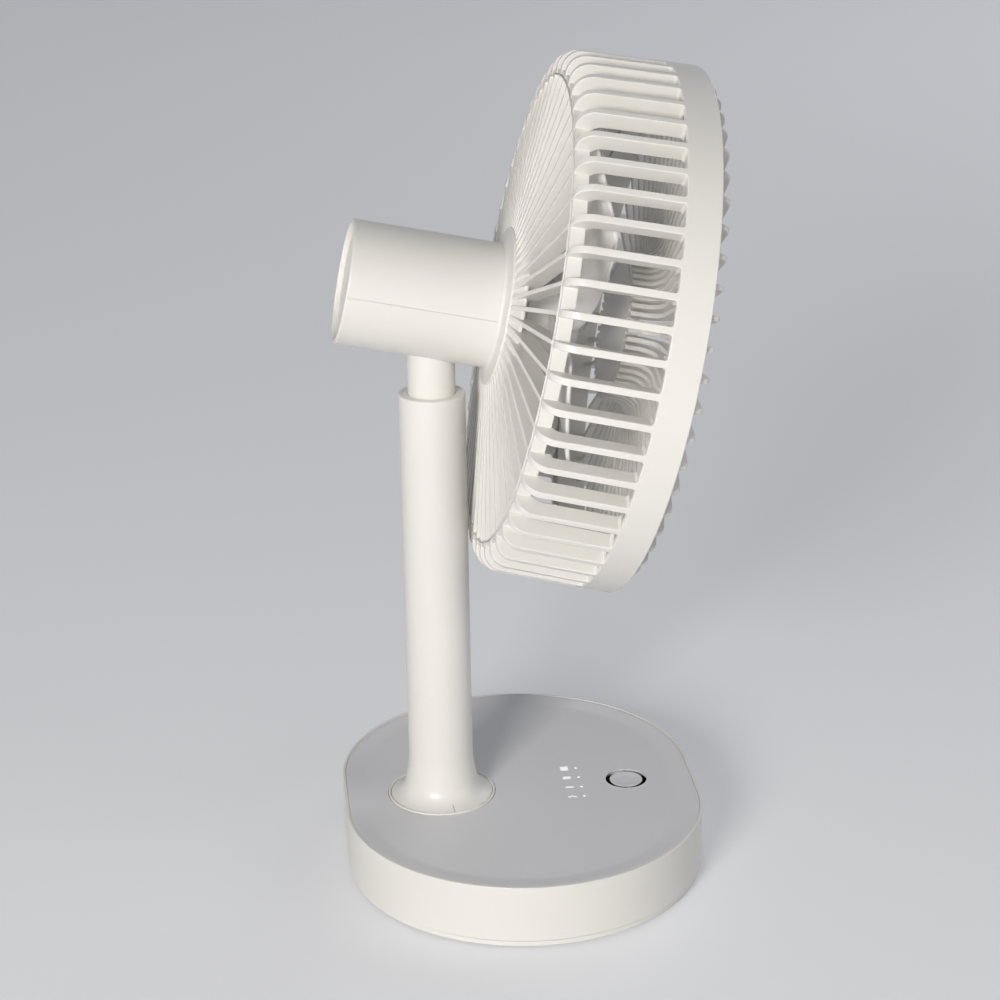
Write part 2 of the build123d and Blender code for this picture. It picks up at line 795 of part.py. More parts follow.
root_section = blade_section(blade_root_section, blade_root_pitch)
tip_section = blade_section(blade_tip_radius + blade_margin, blade_tip_pitch)
blade_skin = loft([root_section, tip_section], ruled=True)
outline = make_face(Polyline(*blade_leading_edge, *blade_trailing_edge, close=True))
outline &= Circle(blade_tip_radius)
tip_corners = outline.vertices().filter_by(lambda spot: spot.center().length > blade_tip_radius - blade_touch)
outline = fillet(tip_corners, blade_corner)
blade_cut = extrude(Plane.XZ.offset(impeller_hub_rear) * outline, impeller_hub_front - impeller_hub_rear)
blade = blade_skin & blade_cut
impeller_hub = turned(
    (shaft_radius + fit_gap, impeller_boss_rear),
    (impeller_boss_radius, impeller_boss_rear),
    (impeller_boss_radius, impeller_hub_front - impeller_hub_wall),
    (impeller_hub_radius - impeller_hub_wall, impeller_hub_front - impeller_hub_wall),
    (impeller_hub_radius - impeller_hub_wall, impeller_hub_rear),
    (impeller_hub_radius, impeller_hub_rear),
    (impeller_hub_radius, impeller_hub_front, impeller_hub_rounding, 2),
    (shaft_radius + fit_gap, impeller_hub_front),
)
hub_space = turned(
    (0, impeller_hub_rear - cut_over),
    (impeller_hub_radius - impeller_hub_wall, impeller_hub_rear - cut_over),
    (impeller_hub_radius - impeller_hub_wall, impeller_hub_front),
    (0, impeller_hub_front),
)
impeller = impeller_hub.fuse(*around(blade - hub_space, blade_count, -blade_phase))
save("impeller", head * impeller)

nut_floor = shaft_front + fit_gap
nut = turned(
    (0, nut_floor),
    (shaft_radius + fit_gap, nut_floor),
    (shaft_radius + fit_gap, impeller_hub_front),
    (nut_radius, impeller_hub_front),
    (nut_radius, impeller_hub_front + nut_length, nut_rounding, 2),
    (0, impeller_hub_front + nut_length),
)
save("impeller_nut", head * nut)

# Push button, switch, indicators and boards
stem_low = switch_top + button_travel + fit_gap
stem_radius = switch_plunger_radius + button_stem_margin
ear_low = deck_under - button_ear_gap - button_ear_thickness
power_button = upright(
    (0, stem_low),
    (stem_radius, stem_low),
    (stem_radius, ear_low),
    (button_radius, ear_low),
    (button_radius, deck_z, button_chamfer, 1),
    (0, deck_z),
)
ears = Box(2 * button_ear_reach, button_ear_width, button_ear_thickness, align=lowest)
power_button += Pos(0, 0, ear_low) * ears
save("power_button", Pos(0, button_y, 0) * power_button)

push_switch = Pos(0, button_y, board_top + switch_height / 2) * Box(switch_size, switch_size, switch_height)
push_switch += post(0, button_y, switch_plunger_radius, board_top, switch_top)
save("push_switch", push_switch)

led = Pos(0, indicator_y, board_top) * Box(led_length, led_width, led_height, align=lowest)
lens = post(0, indicator_y, indicator_radius, board_top + led_height + fit_gap, deck_z)
save("indicator_leds", [Pos(x, 0, 0) * led for x in indicator_places])
save("indicator_lenses", [Pos(x, 0, 0) * lens for x in indicator_places])

board_outline = Pos(0, board_y) * RectangleRounded(board_width, board_length, board_rounding)
control_board = prism(board_outline, board_z, board_top)
for x, y in board_places:
    control_board -= peg(x, y, screw_hole, board_z, board_top)
save("control_board", control_board)
board_bite = deck_under - board_z - 2 * screw_end_gap
save("board_screws", [Pos(x, y, board_z) * screw(board_bite) for x, y in board_places])

# Battery cells in their cradles, and the ballast
cell_z = wall_z + cradle_floor + cell_radius + fit_gap
cell = Rot(90, 0, 0) * Cylinder(cell_radius, cell_length)
cell_space = Rot(90, 0, 0) * Cylinder(cell_radius + fit_gap, cell_length + 2 * drop_gap)
cradle = Box(cradle_width, cradle_length, cradle_height, align=lowest)
cradle -= Pos(0, 0, cell_z - wall_z) * cell_space
save("battery_cells", [Pos(x, cell_y, cell_z) * cell for x in (-cell_x, cell_x)])
save("battery_cradles", [Pos(x, cell_y, wall_z) * cradle for x in (-cell_x, cell_x)])

ballast_outline = Pos(0, ballast_y) * RectangleRounded(ballast_width, ballast_length, ballast_rounding)
save("ballast_plate", prism(ballast_outline, wall_z, wall_z + ballast_thickness))

# Charging socket on its own small board
socket_mouth = Plane(origin=(0, base_length / 2 - socket_drop, socket_z), x_dir=(-1, 0, 0), z_dir=(0, 1, 0))
socket = extrude(socket_mouth * SlotOverall(socket_width, socket_height), -socket_depth)
socket_inner = SlotOverall(socket_width - 2 * socket_wall, socket_height - 2 * socket_wall)
socket -= extrude(socket_mouth * socket_inner, socket_back - socket_depth)
tongue_face = socket_mouth.offset(-socket_depth) * Rectangle(tongue_width, tongue_height)
socket += extrude(tongue_face, socket_back + tongue_length)
save("charging_socket", socket)

socket_board = Pos(0, socket_board_y) * Rectangle(socket_board_width, socket_board_length)
save("charging_board", prism(socket_board, socket_board_z, socket_board_z + board_thickness))
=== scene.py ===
import json
import math

import bmesh
import bpy
from bpy.props import FloatProperty, FloatVectorProperty, IntProperty, PointerProperty
from mathutils import Matrix, Vector


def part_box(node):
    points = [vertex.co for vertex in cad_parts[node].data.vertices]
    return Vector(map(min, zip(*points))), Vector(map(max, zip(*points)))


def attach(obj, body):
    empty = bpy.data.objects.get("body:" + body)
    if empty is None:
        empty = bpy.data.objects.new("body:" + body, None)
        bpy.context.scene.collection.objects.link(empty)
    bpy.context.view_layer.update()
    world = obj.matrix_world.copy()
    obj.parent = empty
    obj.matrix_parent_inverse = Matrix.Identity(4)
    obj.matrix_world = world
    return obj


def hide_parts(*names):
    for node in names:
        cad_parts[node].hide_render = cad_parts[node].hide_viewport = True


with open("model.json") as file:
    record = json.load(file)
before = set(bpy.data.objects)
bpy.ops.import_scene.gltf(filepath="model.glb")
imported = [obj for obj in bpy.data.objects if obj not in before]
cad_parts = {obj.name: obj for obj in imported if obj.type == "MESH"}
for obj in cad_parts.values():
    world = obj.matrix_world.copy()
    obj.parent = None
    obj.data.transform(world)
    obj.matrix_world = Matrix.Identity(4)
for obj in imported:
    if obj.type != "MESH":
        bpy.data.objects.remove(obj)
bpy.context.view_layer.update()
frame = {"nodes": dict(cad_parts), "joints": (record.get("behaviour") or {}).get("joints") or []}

bl_info = {
    "name": "Pedestal fan",
    "version": (1, 0, 0),
    "blender": (4, 5, 0),
    "location": "View3D > Sidebar > Fan",
    "description": "Builds the visible mouldings and finishes of a pedestal fan over its frame",
    "category": "Add Mesh",
}

MM = 0.001
ARC_STEP = math.radians(11)
EDGE_STEPS = 3
SHARP_ANGLE = math.radians(38)
MERGE_GAP = 1e-7
SCREW_WELL = 2.9 * MM

SHELL_LOW, SHELL_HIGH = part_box("base_shell")
COLUMN_LOW, COLUMN_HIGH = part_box("column")
BUTTON_LOW, BUTTON_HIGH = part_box("power_button")
LENS_LOW, LENS_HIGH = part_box("indicator_lenses")


def joint(name):
    """The frame's joint of that name."""
    return next(item for item in frame["joints"] if item["name"] == name)


# The head's own frame: across, up and ahead, measured from the tilt pin
TILT_PIN = Vector(joint("head_tilt")["pos_m"])
ACROSS = Vector(joint("head_tilt")["axis"])
AHEAD = Vector(joint("fan_spin")["axis"]).normalized()
HEAD = Matrix.Translation(TILT_PIN) @ Matrix((ACROSS, AHEAD.cross(ACROSS), AHEAD)).transposed().to_4x4()


def linear(red, green, blue):
    """Display colour as written on a swatch, turned into light."""
    return tuple(((part / 255 + 0.055) / 1.055) ** 2.4 for part in (red, green, blue))


def size(label, about, value):
    """A length that a user may change."""
    return FloatProperty(name=label, description=about, default=value, unit="LENGTH", precision=5)


def axial(label, about, value):
    """A place along the fan's axis that a user may change."""
    return size(label, f"{about}, ahead of the tilt pin", value)


def turn(label, about, degrees):
    """An angle that a user may change."""
    return FloatProperty(name=label, description=about, default=math.radians(degrees), subtype="ANGLE")


def number(label, about, value):
    """A count that a user may change."""
    return IntProperty(name=label, description=about, default=value, min=1)


def shade(label, about, value):
    """A colour that a user may change."""
    return FloatVectorProperty(name=label, description=about, default=value, subtype="COLOR", min=0, max=1)


class BaseSizes(bpy.types.PropertyGroup):
    """Base shell, deck, button and level lights."""

    width: size("Width", "Base from side to side", SHELL_HIGH.x - SHELL_LOW.x)
    length: size("Length", "Base from front to back", SHELL_HIGH.y - SHELL_LOW.y)
    bottom: size("Wall bottom", "Lower edge of the side wall", SHELL_LOW.z + 0.7 * MM)
    rim: size("Rim", "Top of the side wall", SHELL_HIGH.z)
    wall: size("Wall", "Thickness of the side wall", 2.4 * MM)
    rim_width: size("Rim width", "Width of the rim round the deck", 1.2 * MM)
    rim_rounding: size("Rim rounding", "Rounding of the rim's outer edge", 0.4 * MM)
    ledge: size("Ledge", "Ledge that carries the deck", 3.0 * MM)
    deck_drop: size("Deck drop", "Deck floor below the rim", 1.4 * MM)
    deck_thickness: size("Deck thickness", "Thickness of the deck floor", 2.0 * MM)
    deck_edge_drop: size("Deck edge drop", "Deck edge below the rim", 0.3 * MM)
    seam: size("Seam", "Gap between the deck and the rim", 0.1 * MM)
    dish_outer: size("Dish outer", "Where the dish starts, in from the wall", 3.0 * MM)
    dish_inner: size("Dish inner", "Where the dish levels out, in from the wall", 10.0 * MM)
    hole_radius: size("Hole radius", "Radius of the hole that the button moves in", 9.1 * MM)
    hole_bead: size("Hole bead", "Height of the bead round the button's hole", 0.18 * MM)
    hole_lip: size("Hole lip", "Rounding of the lips of the deck's small holes", 0.12 * MM)
    relief: size("Relief", "How far the hole widens under its lip", 1.2 * MM)
    key_width: size("Key width", "Width of the keys that guide the button", 1.0 * MM)
    key_drop: size("Key drop", "Top of the keys below the deck floor", 0.3 * MM)
    button_radius: size("Button radius", "Radius of the push button", 7.25 * MM)
    button_dish: size("Button dish", "Depth of the push button's dish", 0.4 * MM)
    button_y: size("Button place", "Button in front of the base's middle", (BUTTON_LOW.y + BUTTON_HIGH.y) / 2)
    button_taper: size("Button taper", "How far the button narrows below its rim", 2.0 * MM)
    button_stem: size("Button stem", "Radius of the stem under the button", 2.75 * MM)
    ear_width: size("Ear width", "Width of the ears that hold the button", 3.0 * MM)
    ear_height: size("Ear height", "Height of the ears that hold the button", 1.2 * MM)
    lens_radius: size("Lens radius", "Radius of a level light", 0.62 * MM)
    lens_gap: size("Lens gap", "Gap round a level light", 0.06 * MM)
    lens_y: size("Lens place", "Level lights in front of the base's middle", (LENS_LOW.y + LENS_HIGH.y) / 2)
    lens_pitch: size("Lens pitch", "Spacing of the level lights", 9.2 * MM)
    mark_y: size("Mark place", "Level marks in front of the base's middle", -21.6 * MM)
    mark_length: size("Mark length", "Length of a level mark", 3.5 * MM)
    mark_rounding: size("Mark rounding", "Rounding of a level mark's corners", 0.2 * MM)


class ColumnSizes(bpy.types.PropertyGroup):
    """Column with its flared foot."""

    radius: size("Radius", "Outside of the column", 14.0 * MM)
    bore: size("Bore", "Inside of the column", 12.3 * MM)
    top: size("Top", "Top of the column", COLUMN_HIGH.z)
    place: size("Place", "Column behind the base's middle", (COLUMN_LOW.y + COLUMN_HIGH.y) / 2)
    rounding: size("Rounding", "Rounding of the column's top edge", 0.5 * MM)
    flare_radius: size("Flare radius", "Radius of the flared foot", 23.5 * MM)
    flare_height: size("Flare height", "Height over which the foot flares", 17.0 * MM)
    bead_width: size("Bead width", "Width of the bead round the foot", 1.0 * MM)
    bead_height: size("Bead height", "Height of the bead round the foot", 0.55 * MM)
    bead_groove: size("Bead groove", "Width of the groove inside the bead", 0.25 * MM)
    notch_length: size("Notch length", "Length of the notch in the foot", 4.0 * MM)
    notch_width: size("Notch width", "Width of the notch in the foot", 0.35 * MM)
    notch_turn: turn("Notch turn", "Place of the notch round the foot", 190.0)


class HousingSizes(bpy.types.PropertyGroup):
    """Motor housing in two halves and its rear cap."""

    radius: size("Radius", "Outside of the housing", 25.85 * MM)
    wall: size("Wall", "Thickness of the housing", 2.0 * MM)
    rear: axial("Rear", "Rear edge", -36.1 * MM)
    front: axial("Front", "Front edge", 26.2 * MM)
    parting: size("Parting", "Gap between the halves", 0.1 * MM)
    easing: size("Easing", "Easing of the edges along the parting line", 0.07 * MM)
    cap_drop: size("Cap drop", "Rear cap inside the rear edge", 2.2 * MM)
    cap_dish: size("Cap dish", "Depth of the rear cap's dish", 1.0 * MM)
    cap_gap: size("Cap gap", "Gap round the rear cap", 0.25 * MM)
    cap_thickness: size("Cap thickness", "Thickness of the rear cap", 2.0 * MM)
    screw_x: size("Screw place", "Housing screws to either side of the middle", 5.0 * MM)
    screw_up: size("Screw height", "Top of the housing screws' wells, above the tilt pin", -10.0 * MM)
    screw_ahead: axial("Screw ahead", "Housing screws", -27.6 * MM)
    slot_radius: size("Slot radius", "Half width of the opening for the mast", 10.6 * MM)
    slot_rear: turn("Slot rear", "Opening's swing towards the rear", 13.0)
    slot_front: turn("Slot front", "Opening's swing towards the front", 28.0)


class RearGuardSizes(bpy.types.PropertyGroup):
    """Drum-shaped rear guard."""

    ribs: number("Ribs", "Ribs round the drum", 54)
    phase: turn("Phase", "First rib, turned from the side", -1.4)
    flare_radius: size("Flare radius", "Rim of the hub's flare", 32.8 * MM)
    flare_front: axial("Flare front", "Flare's rim", 28.3 * MM)
    spigot_rear: axial("Spigot rear", "Hub's end in the housing", 21.0 * MM)
    spigot_gap: size("Spigot gap", "Gap between the hub's spigot and the housing", 0.25 * MM)
    spigot_bore: size("Spigot bore", "Inside of the hub's spigot", 19.5 * MM)
    hub_floor: axial("Hub floor", "Floor inside the spigot", 32.0 * MM)
    hub_bore: size("Hub bore", "Hole for the motor shaft", 6.0 * MM)
    hub_front: axial("Hub front", "Front of the hub", 35.2 * MM)
    hub_radius: size("Hub radius", "Plate that the rear ribs start from", 43.0 * MM)
    plate_rear: axial("Plate rear", "Plate's rim", 32.2 * MM)
    plate_front: axial("Plate front", "Plate's front", 33.5 * MM)
    plate_rim: size("Plate rim", "Width of the plate's thin rim", 7.0 * MM)
    rear_width: size("Rear rib width", "Width of a rear rib", 1.8 * MM)
    rear_rounding: size("Rear rib rounding", "Rounding of a rear rib's edges", 0.3 * MM)
    ring_inner: size("Ring inside", "Inner radius of the ring at the drum's corner", 94.6 * MM)
    ring_outer: size("Ring outside", "Where the rear ribs end on the ring", 97.0 * MM)
    ring_rear: axial("Ring rear", "Floor of the ring's groove", 38.0 * MM)
    ring_front: axial("Ring front", "Front of the ring", 42.7 * MM)
    groove: size("Groove", "Width of the groove round the rear ribs", 0.5 * MM)
    pad_rear: axial("Pad rear", "Ring outside the groove", 36.9 * MM)
    pad_outer: size("Pad outside", "Outer radius of the ring outside the groove", 99.3 * MM)
    drum_rear: axial("Drum rear", "Rear face", 36.6 * MM)
    drum_front: axial("Drum front", "Front edge", 92.3 * MM)
    drum_radius: size("Drum radius", "Radius at the front edge", 110.33 * MM)
    shoulder_radius: size("Shoulder radius", "Radius at the rear corner", 108.2 * MM)
    corner: size("Corner", "Rounding of the drum's rear corner", 8.0 * MM)
    slot_end: axial("Slot end", "Front end of the slots", 78.3 * MM)
    side_width: size("Side rib width", "Width of a side rib", 3.0 * MM)
    side_depth: size("Side rib depth", "Depth of a side rib", 7.0 * MM)
    side_rounding: size("Side rib rounding", "Rounding of a side rib's edges", 0.45 * MM)
    inner_corner: size("Inner corner", "Rounding inside the drum's rear corner", 5.0 * MM)
    band_wall: size("Band wall", "Thickness of the front band", 2.6 * MM)
    web: size("Web", "Rounding where a side rib meets the band", 1.2 * MM)
    screw_ahead: axial("Screw ahead", "Grille screw", 86.0 * MM)


class FrontGuardSizes(bpy.types.PropertyGroup):
    """Front guard with its hub set back in a well."""

    ribs: number("Ribs", "Ribs of the front guard", 56)
    phase: turn("Phase", "First rib, turned from the side", 0.7)
    width: size("Rib width", "Width of a rib", 2.0 * MM)
    rounding: size("Rounding", "Rounding of a rib's edges", 0.45 * MM)
    ring_radius: size("Ring radius", "Outside of the ring in the band", 107.0 * MM)
    ring_wall: size("Ring wall", "Thickness of the ring", 2.5 * MM)
    ring_rear: axial("Ring rear", "Rear edge of the ring", 80.0 * MM)
    front: axial("Front", "Front of the ribs", 96.85 * MM)
    shoulder: size("Shoulder", "Rounding of a rib's tip", 4.2 * MM)
    well_radius: size("Well radius", "Radius of the well round the hub", 25.5 * MM)
    well_rounding: size("Well rounding", "Rounding of the ribs into the well", 15.0 * MM)
    hub_rear: axial("Hub rear", "Rear of the hub", 78.0 * MM)
    hub_front: axial("Hub front", "Front of the hub", 83.0 * MM)
    hub_wall: size("Hub wall", "Thickness of the hub's floor", 2.4 * MM)
    hub_rim: size("Hub rim", "Width of the hub's rim", 2.4 * MM)
    hub_over: size("Hub overlap", "Hub's rim outside the well", 0.8 * MM)
    cap_radius: size("Cap radius", "Radius of the front cap", 22.8 * MM)
    cap_height: size("Cap height", "Height of the front cap's rim", 1.8 * MM)
    cap_dish: size("Cap dish", "Depth of the front cap's dish", 1.0 * MM)


class ImpellerSizes(bpy.types.PropertyGroup):
    """Impeller with its blades and nut."""

    blades: number("Blades", "Number of blades", 6)
    phase: turn("Phase", "First blade, turned from the side", 11.0)
    tip_radius: size("Tip radius", "Radius of the blade tips", 96.0 * MM)
    middle: axial("Middle", "Middle of a blade", 51.0 * MM)
    thickness: size("Thickness", "Thickness of a blade", 1.6 * MM)
    camber: size("Camber", "Bow of a blade along its chord", 1.8 * MM)
    sweep: size("Sweep", "Bow of a blade's trailing edge, seen along the axis", 11.0 * MM)
    root_pitch: turn("Root pitch", "Pitch of a blade at the hub", 22.0)
    tip_pitch: turn("Tip pitch", "Pitch of a blade at the tip", 11.5)
    root_lead: turn("Root lead", "Leading edge at the hub", -27.0)
    root_trail: turn("Root trail", "Trailing edge at the hub", 54.0)
    tip_lead: turn("Tip lead", "Leading edge at the tip", -16.0)
    tip_trail: turn("Tip trail", "Trailing edge at the tip", 15.8)
    corner: size("Corner", "Rounding of a blade's outer corners", 9.0 * MM)
    rim_rounding: size("Rim rounding", "How far in a blade's rim is rounded", 0.7 * MM)
    hub_radius: size("Hub radius", "Radius of the hub", 20.0 * MM)
    hub_wall: size("Hub wall", "Thickness of the hub", 2.0 * MM)
    hub_rear: axial("Hub rear", "Rear of the hub", 38.2 * MM)
    hub_front: axial("Hub front", "Front of the hub", 61.0 * MM)
    boss_radius: size("Boss radius", "Radius of the boss on the shaft", 4.5 * MM)
    boss_rear: axial("Boss rear", "Rear of the boss", 42.0 * MM)
    shaft_bore: size("Shaft bore", "Radius of the bore for the shaft", 1.65 * MM)
    shaft_end: size("Shaft end", "How far the shaft reaches into the nut", 4.1 * MM)
    nut_radius: size("Nut radius", "Radius of the nut", 5.0 * MM)
    nut_length: size("Nut length", "Length of the nut", 5.5 * MM)


class Colours(bpy.types.PropertyGroup):
    """Colours of the finishes."""

    body: shade("Body", "Mouldings of the base, column and head", linear(237, 235, 230))
    # The deck's cooler, greyer colour is painted shade and a painted cool reflection on the upward-facing
    # deck.
    deck: shade("Deck", "Top of the base", linear(228, 228, 231))
    # The blade colour's lift above the body's tone is painted light, for light that falls on the blades
    # through the guard's slots.
    blade: shade("Blade", "Impeller", linear(240, 239, 238))
    tube: shade("Tube", "Mast tube", linear(238, 236, 231))
    inner: shade("Inner", "Mouldings inside", linear(214, 211, 202))
    # The mark and lens colours also feed their painted glow.
    mark: shade("Mark", "Printed level marks", linear(250, 250, 250))
    lens: shade("Lens", "Level lights", linear(247, 247, 245))
    steel: shade("Steel", "Screws, pin and shaft", linear(176, 178, 182))
    rubber: shade("Rubber", "Feet and friction ring", linear(96, 97, 100))
    film: shade("Film", "Film of the battery cells", linear(72, 118, 150))
    board: shade("Board", "Mask of the circuit boards", linear(38, 104, 62))
    track: shade("Track", "Tracks under the mask", linear(86, 150, 84))
    switch: shade("Switch", "Push switch", linear(34, 34, 36))
    led: shade("Small lights", "Lights under the level lenses", linear(236, 220, 140))
    floor: shade("Floor", "Floor under the fan", linear(222, 223, 226))


class StageSettings(bpy.types.PropertyGroup):
    """Camera of the stage."""

    lens: FloatProperty(
        name="Lens", description="Focal length on a 36 mm sensor", default=87.35, subtype="DISTANCE_CAMERA")
    place: FloatVectorProperty(
        name="Camera place", description="Where the camera stands", subtype="XYZ",
        default=(-0.96149, 0.10716, 0.51567))
    yaw: turn("Yaw", "Camera's heading from the side", -5.9586)
    pitch: turn("Pitch", "Camera's downward look", 20.0778)
    roll: turn("Roll", "Camera's lean", -0.92706)


class FanSettings(bpy.types.PropertyGroup):
    """All settings of the fan."""

    base: PointerProperty(type=BaseSizes)
    column: PointerProperty(type=ColumnSizes)
    housing: PointerProperty(type=HousingSizes)
    rear_guard: PointerProperty(type=RearGuardSizes)
    front_guard: PointerProperty(type=FrontGuardSizes)
    impeller: PointerProperty(type=ImpellerSizes)
    colours: PointerProperty(type=Colours)
    stage: PointerProperty(type=StageSettings)


def eased(*corners):
    """Outline through corners, where a third value rounds a corner off."""
    points = []
    for index, corner in enumerate(corners):
        here = Vector(corner[:2])
        if len(corner) == 2:
            points.append(here)
            continue
        rounding = corner[2]
        back = (Vector(corners[index - 1][:2]) - here).normalized()
        onward = (Vector(corners[(index + 1) % len(corners)][:2]) - here).normalized()
        half = back.angle(onward) / 2
        centre = here + (back + onward).normalized() * (rounding / math.sin(half))
        spoke = here + back * (rounding / math.tan(half)) - centre
        swing = math.copysign(math.pi - 2 * half, -back.cross(onward))
        steps = max(2, math.ceil(abs(swing) / ARC_STEP))
        for step in range(steps + 1):
            points.append(centre + Matrix.Rotation(-swing * step / steps, 2).inverted() @ spoke)
    return points


def arc(centre, radius, start, finish, steps):
    """Points on an arc between two angles in degrees."""
    points = []
    for step in range(steps + 1):
        angle = math.radians(start + (finish - start) * step / steps)
        points.append(Vector((centre[0] + radius * math.cos(angle), centre[1] + radius * math.sin(angle))))
    return points


class Shell:
    """Points and faces of closed skins, gathered before they become a mesh."""

    def __init__(self):
        self.points = []
        self.faces = []

    def add(self, points, faces):
        """Take in more points and faces."""
        first = len(self.points)
        self.points += points
        self.faces += [[first + index for index in face] for face in faces]
        return self

    def skin(self, rows, ring=False, capped=False):
        """Cover closed loops of points; ring joins the last loop to the first, capped closes both ends."""
        count = len(rows[0])
        faces = []
        for row in range(len(rows) if ring else len(rows) - 1):
            near = row * count
            far = (row + 1) % len(rows) * count
            for here in range(count):
                there = (here + 1) % count
                faces.append((near + here, near + there, far + there, far + here))
        if capped:
            last = (len(rows) - 1) * count
            faces.append(range(count))
            faces.append(range(last, last + count))
        return self.add([point for row in rows for point in row], faces)

    def join(self, other):
        """Take in another shell's skins."""
        return self.add(other.points, other.faces)

    def copies(self, places):
        """The same skins, once at each place."""
        gathered = Shell()
        for place in places:
            gathered.add([place @ point for point in self.points], self.faces)
        return gathered

    def around(self, count, phase):
        """Copies spaced evenly about the upright axis."""
        angles = [phase + math.tau * step / count for step in range(count)]
        return self.copies([Matrix.Rotation(angle, 4, "Z") for angle in angles])

    def piece(self, name, place=Matrix()):
        """An object with these skins, their normals facing out."""
        mesh = bpy.data.meshes.new(name)
        mesh.from_pydata([place @ point for point in self.points], [], self.faces)
        work = bmesh.new()
        work.from_mesh(mesh)
        bmesh.ops.remove_doubles(work, verts=work.verts, dist=MERGE_GAP)
        loose = [edge for edge in work.edges if not edge.link_faces]
        bmesh.ops.delete(work, geom=loose, context="EDGES")
        bmesh.ops.recalc_face_normals(work, faces=work.faces)
        work.to_mesh(mesh)
        work.free()
        piece = bpy.data.objects.new(name, mesh)
        bpy.context.scene.collection.objects.link(piece)
        return piece


def lathe(outline, turns=128):
    """Turn an outline of radius and height about the upright axis."""
    rows = []
    for step in range(turns):
        angle = math.tau * step / turns
        across, along = math.cos(angle), math.sin(angle)
        rows.append([Vector((radius * across, radius * along, height)) for radius, height in outline])
    return Shell().skin(rows, ring=True)


def oblong(outline, sizes, filled=False, turns=72):
    """Carry an outline of inset and height round the base's oblong plan."""
    reach = (sizes.width - sizes.length) / 2
    rows = []
    for inset, height in outline:
        radius = sizes.length / 2 - inset
        row = []
        for end in (1, -1):
            for step in range(turns + 1):
                angle = math.pi * (step / turns - 0.5)
                across = reach + radius * math.cos(angle)
                row.append(Vector((end * across, end * radius * math.sin(angle), height)))
        rows.append(row)
    return Shell().skin(rows, ring=not filled, capped=filled)


def bar(stations, edge):
    """Bar on the meridian plane through stations of outer point, inner point and width."""
    rows = []
    for outer, inner, width in stations:
        outer, inner = Vector(outer), Vector(inner)
        depth = (outer - inner).length
        rise = (outer - inner) / depth
        rounding = min(edge, 0.49 * width, 0.49 * depth)
        row = []
        for corner in range(4):
            middle = (width / 2 - rounding) * (1 if corner in (0, 3) else -1)
            level = depth - rounding if corner < 2 else rounding
            for step in range(EDGE_STEPS + 1):
                angle = (corner + step / EDGE_STEPS) * math.pi / 2
                spot = inner + rise * (level + rounding * math.sin(angle))
                row.append(Vector((spot.x, middle + rounding * math.cos(angle), spot.y)))
        rows.append(row)
    return Shell().skin(rows, capped=True)


def combine(piece, other, operation):
    """Join another closed piece to this one, or cut it away."""
    modifier = piece.modifiers.new(operation, "BOOLEAN")
    modifier.operation = operation
    modifier.solver = "MANIFOLD"
    modifier.object = other
    mesh = bpy.data.meshes.new_from_object(piece.evaluated_get(bpy.context.evaluated_depsgraph_get()))
    if len(mesh.vertices) in (0, len(piece.data.vertices)):
        raise RuntimeError(f"{operation} left {piece.name} as it was")
    piece.modifiers.clear()
    piece.data = mesh
    bpy.data.objects.remove(other)
    return piece


def screw_well(place, depth):
    """Cutter for a screw's head, down from a place on the fan's head."""
    outline = [Vector((0, 0)), Vector((SCREW_WELL, 0)), Vector((SCREW_WELL, depth)), Vector((0, depth))]
    down = HEAD @ Matrix.Translation(place) @ Matrix.Rotation(math.pi / 2, 4, "X")
    return lathe(outline, 32).piece("screw_well_cutter", down)


def dress(piece, body, slot, *nodes):
    """Give a piece its finish and shading, and seat it on the frame."""
    mesh = piece.data
    mesh.materials.clear()
    mesh.materials.append(finish_of(slot))
    mesh.polygons.foreach_set("use_smooth", [True] * len(mesh.polygons))
    mesh.set_sharp_from_angle(angle=SHARP_ANGLE)
    weighted = piece.modifiers.new("Weighted normals", "WEIGHTED_NORMAL")
    weighted.keep_sharp = True
    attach(piece, body)
    if nodes:
        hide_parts(*nodes)


class Wire:
    """A socket whose arithmetic adds Math nodes."""

    def __init__(self, finish, socket):
        self.finish = finish
        self.socket = socket

    def math(self, operation, other, reflected=False):
        """A Math node on this socket and another value."""
        first, second = (other, self) if reflected else (self, other)
        return self.finish.node("ShaderNodeMath", {"operation": operation}, {0: first, 1: second})

    def __add__(self, other):
        return self.math("ADD", other)

    def __radd__(self, other):
        return self.math("ADD", other, reflected=True)

    def __sub__(self, other):
        return self.math("SUBTRACT", other)

    def __rsub__(self, other):
        return self.math("SUBTRACT", other, reflected=True)

    def __mul__(self, other):
        return self.math("MULTIPLY", other)

    def __rmul__(self, other):
        return self.math("MULTIPLY", other, reflected=True)


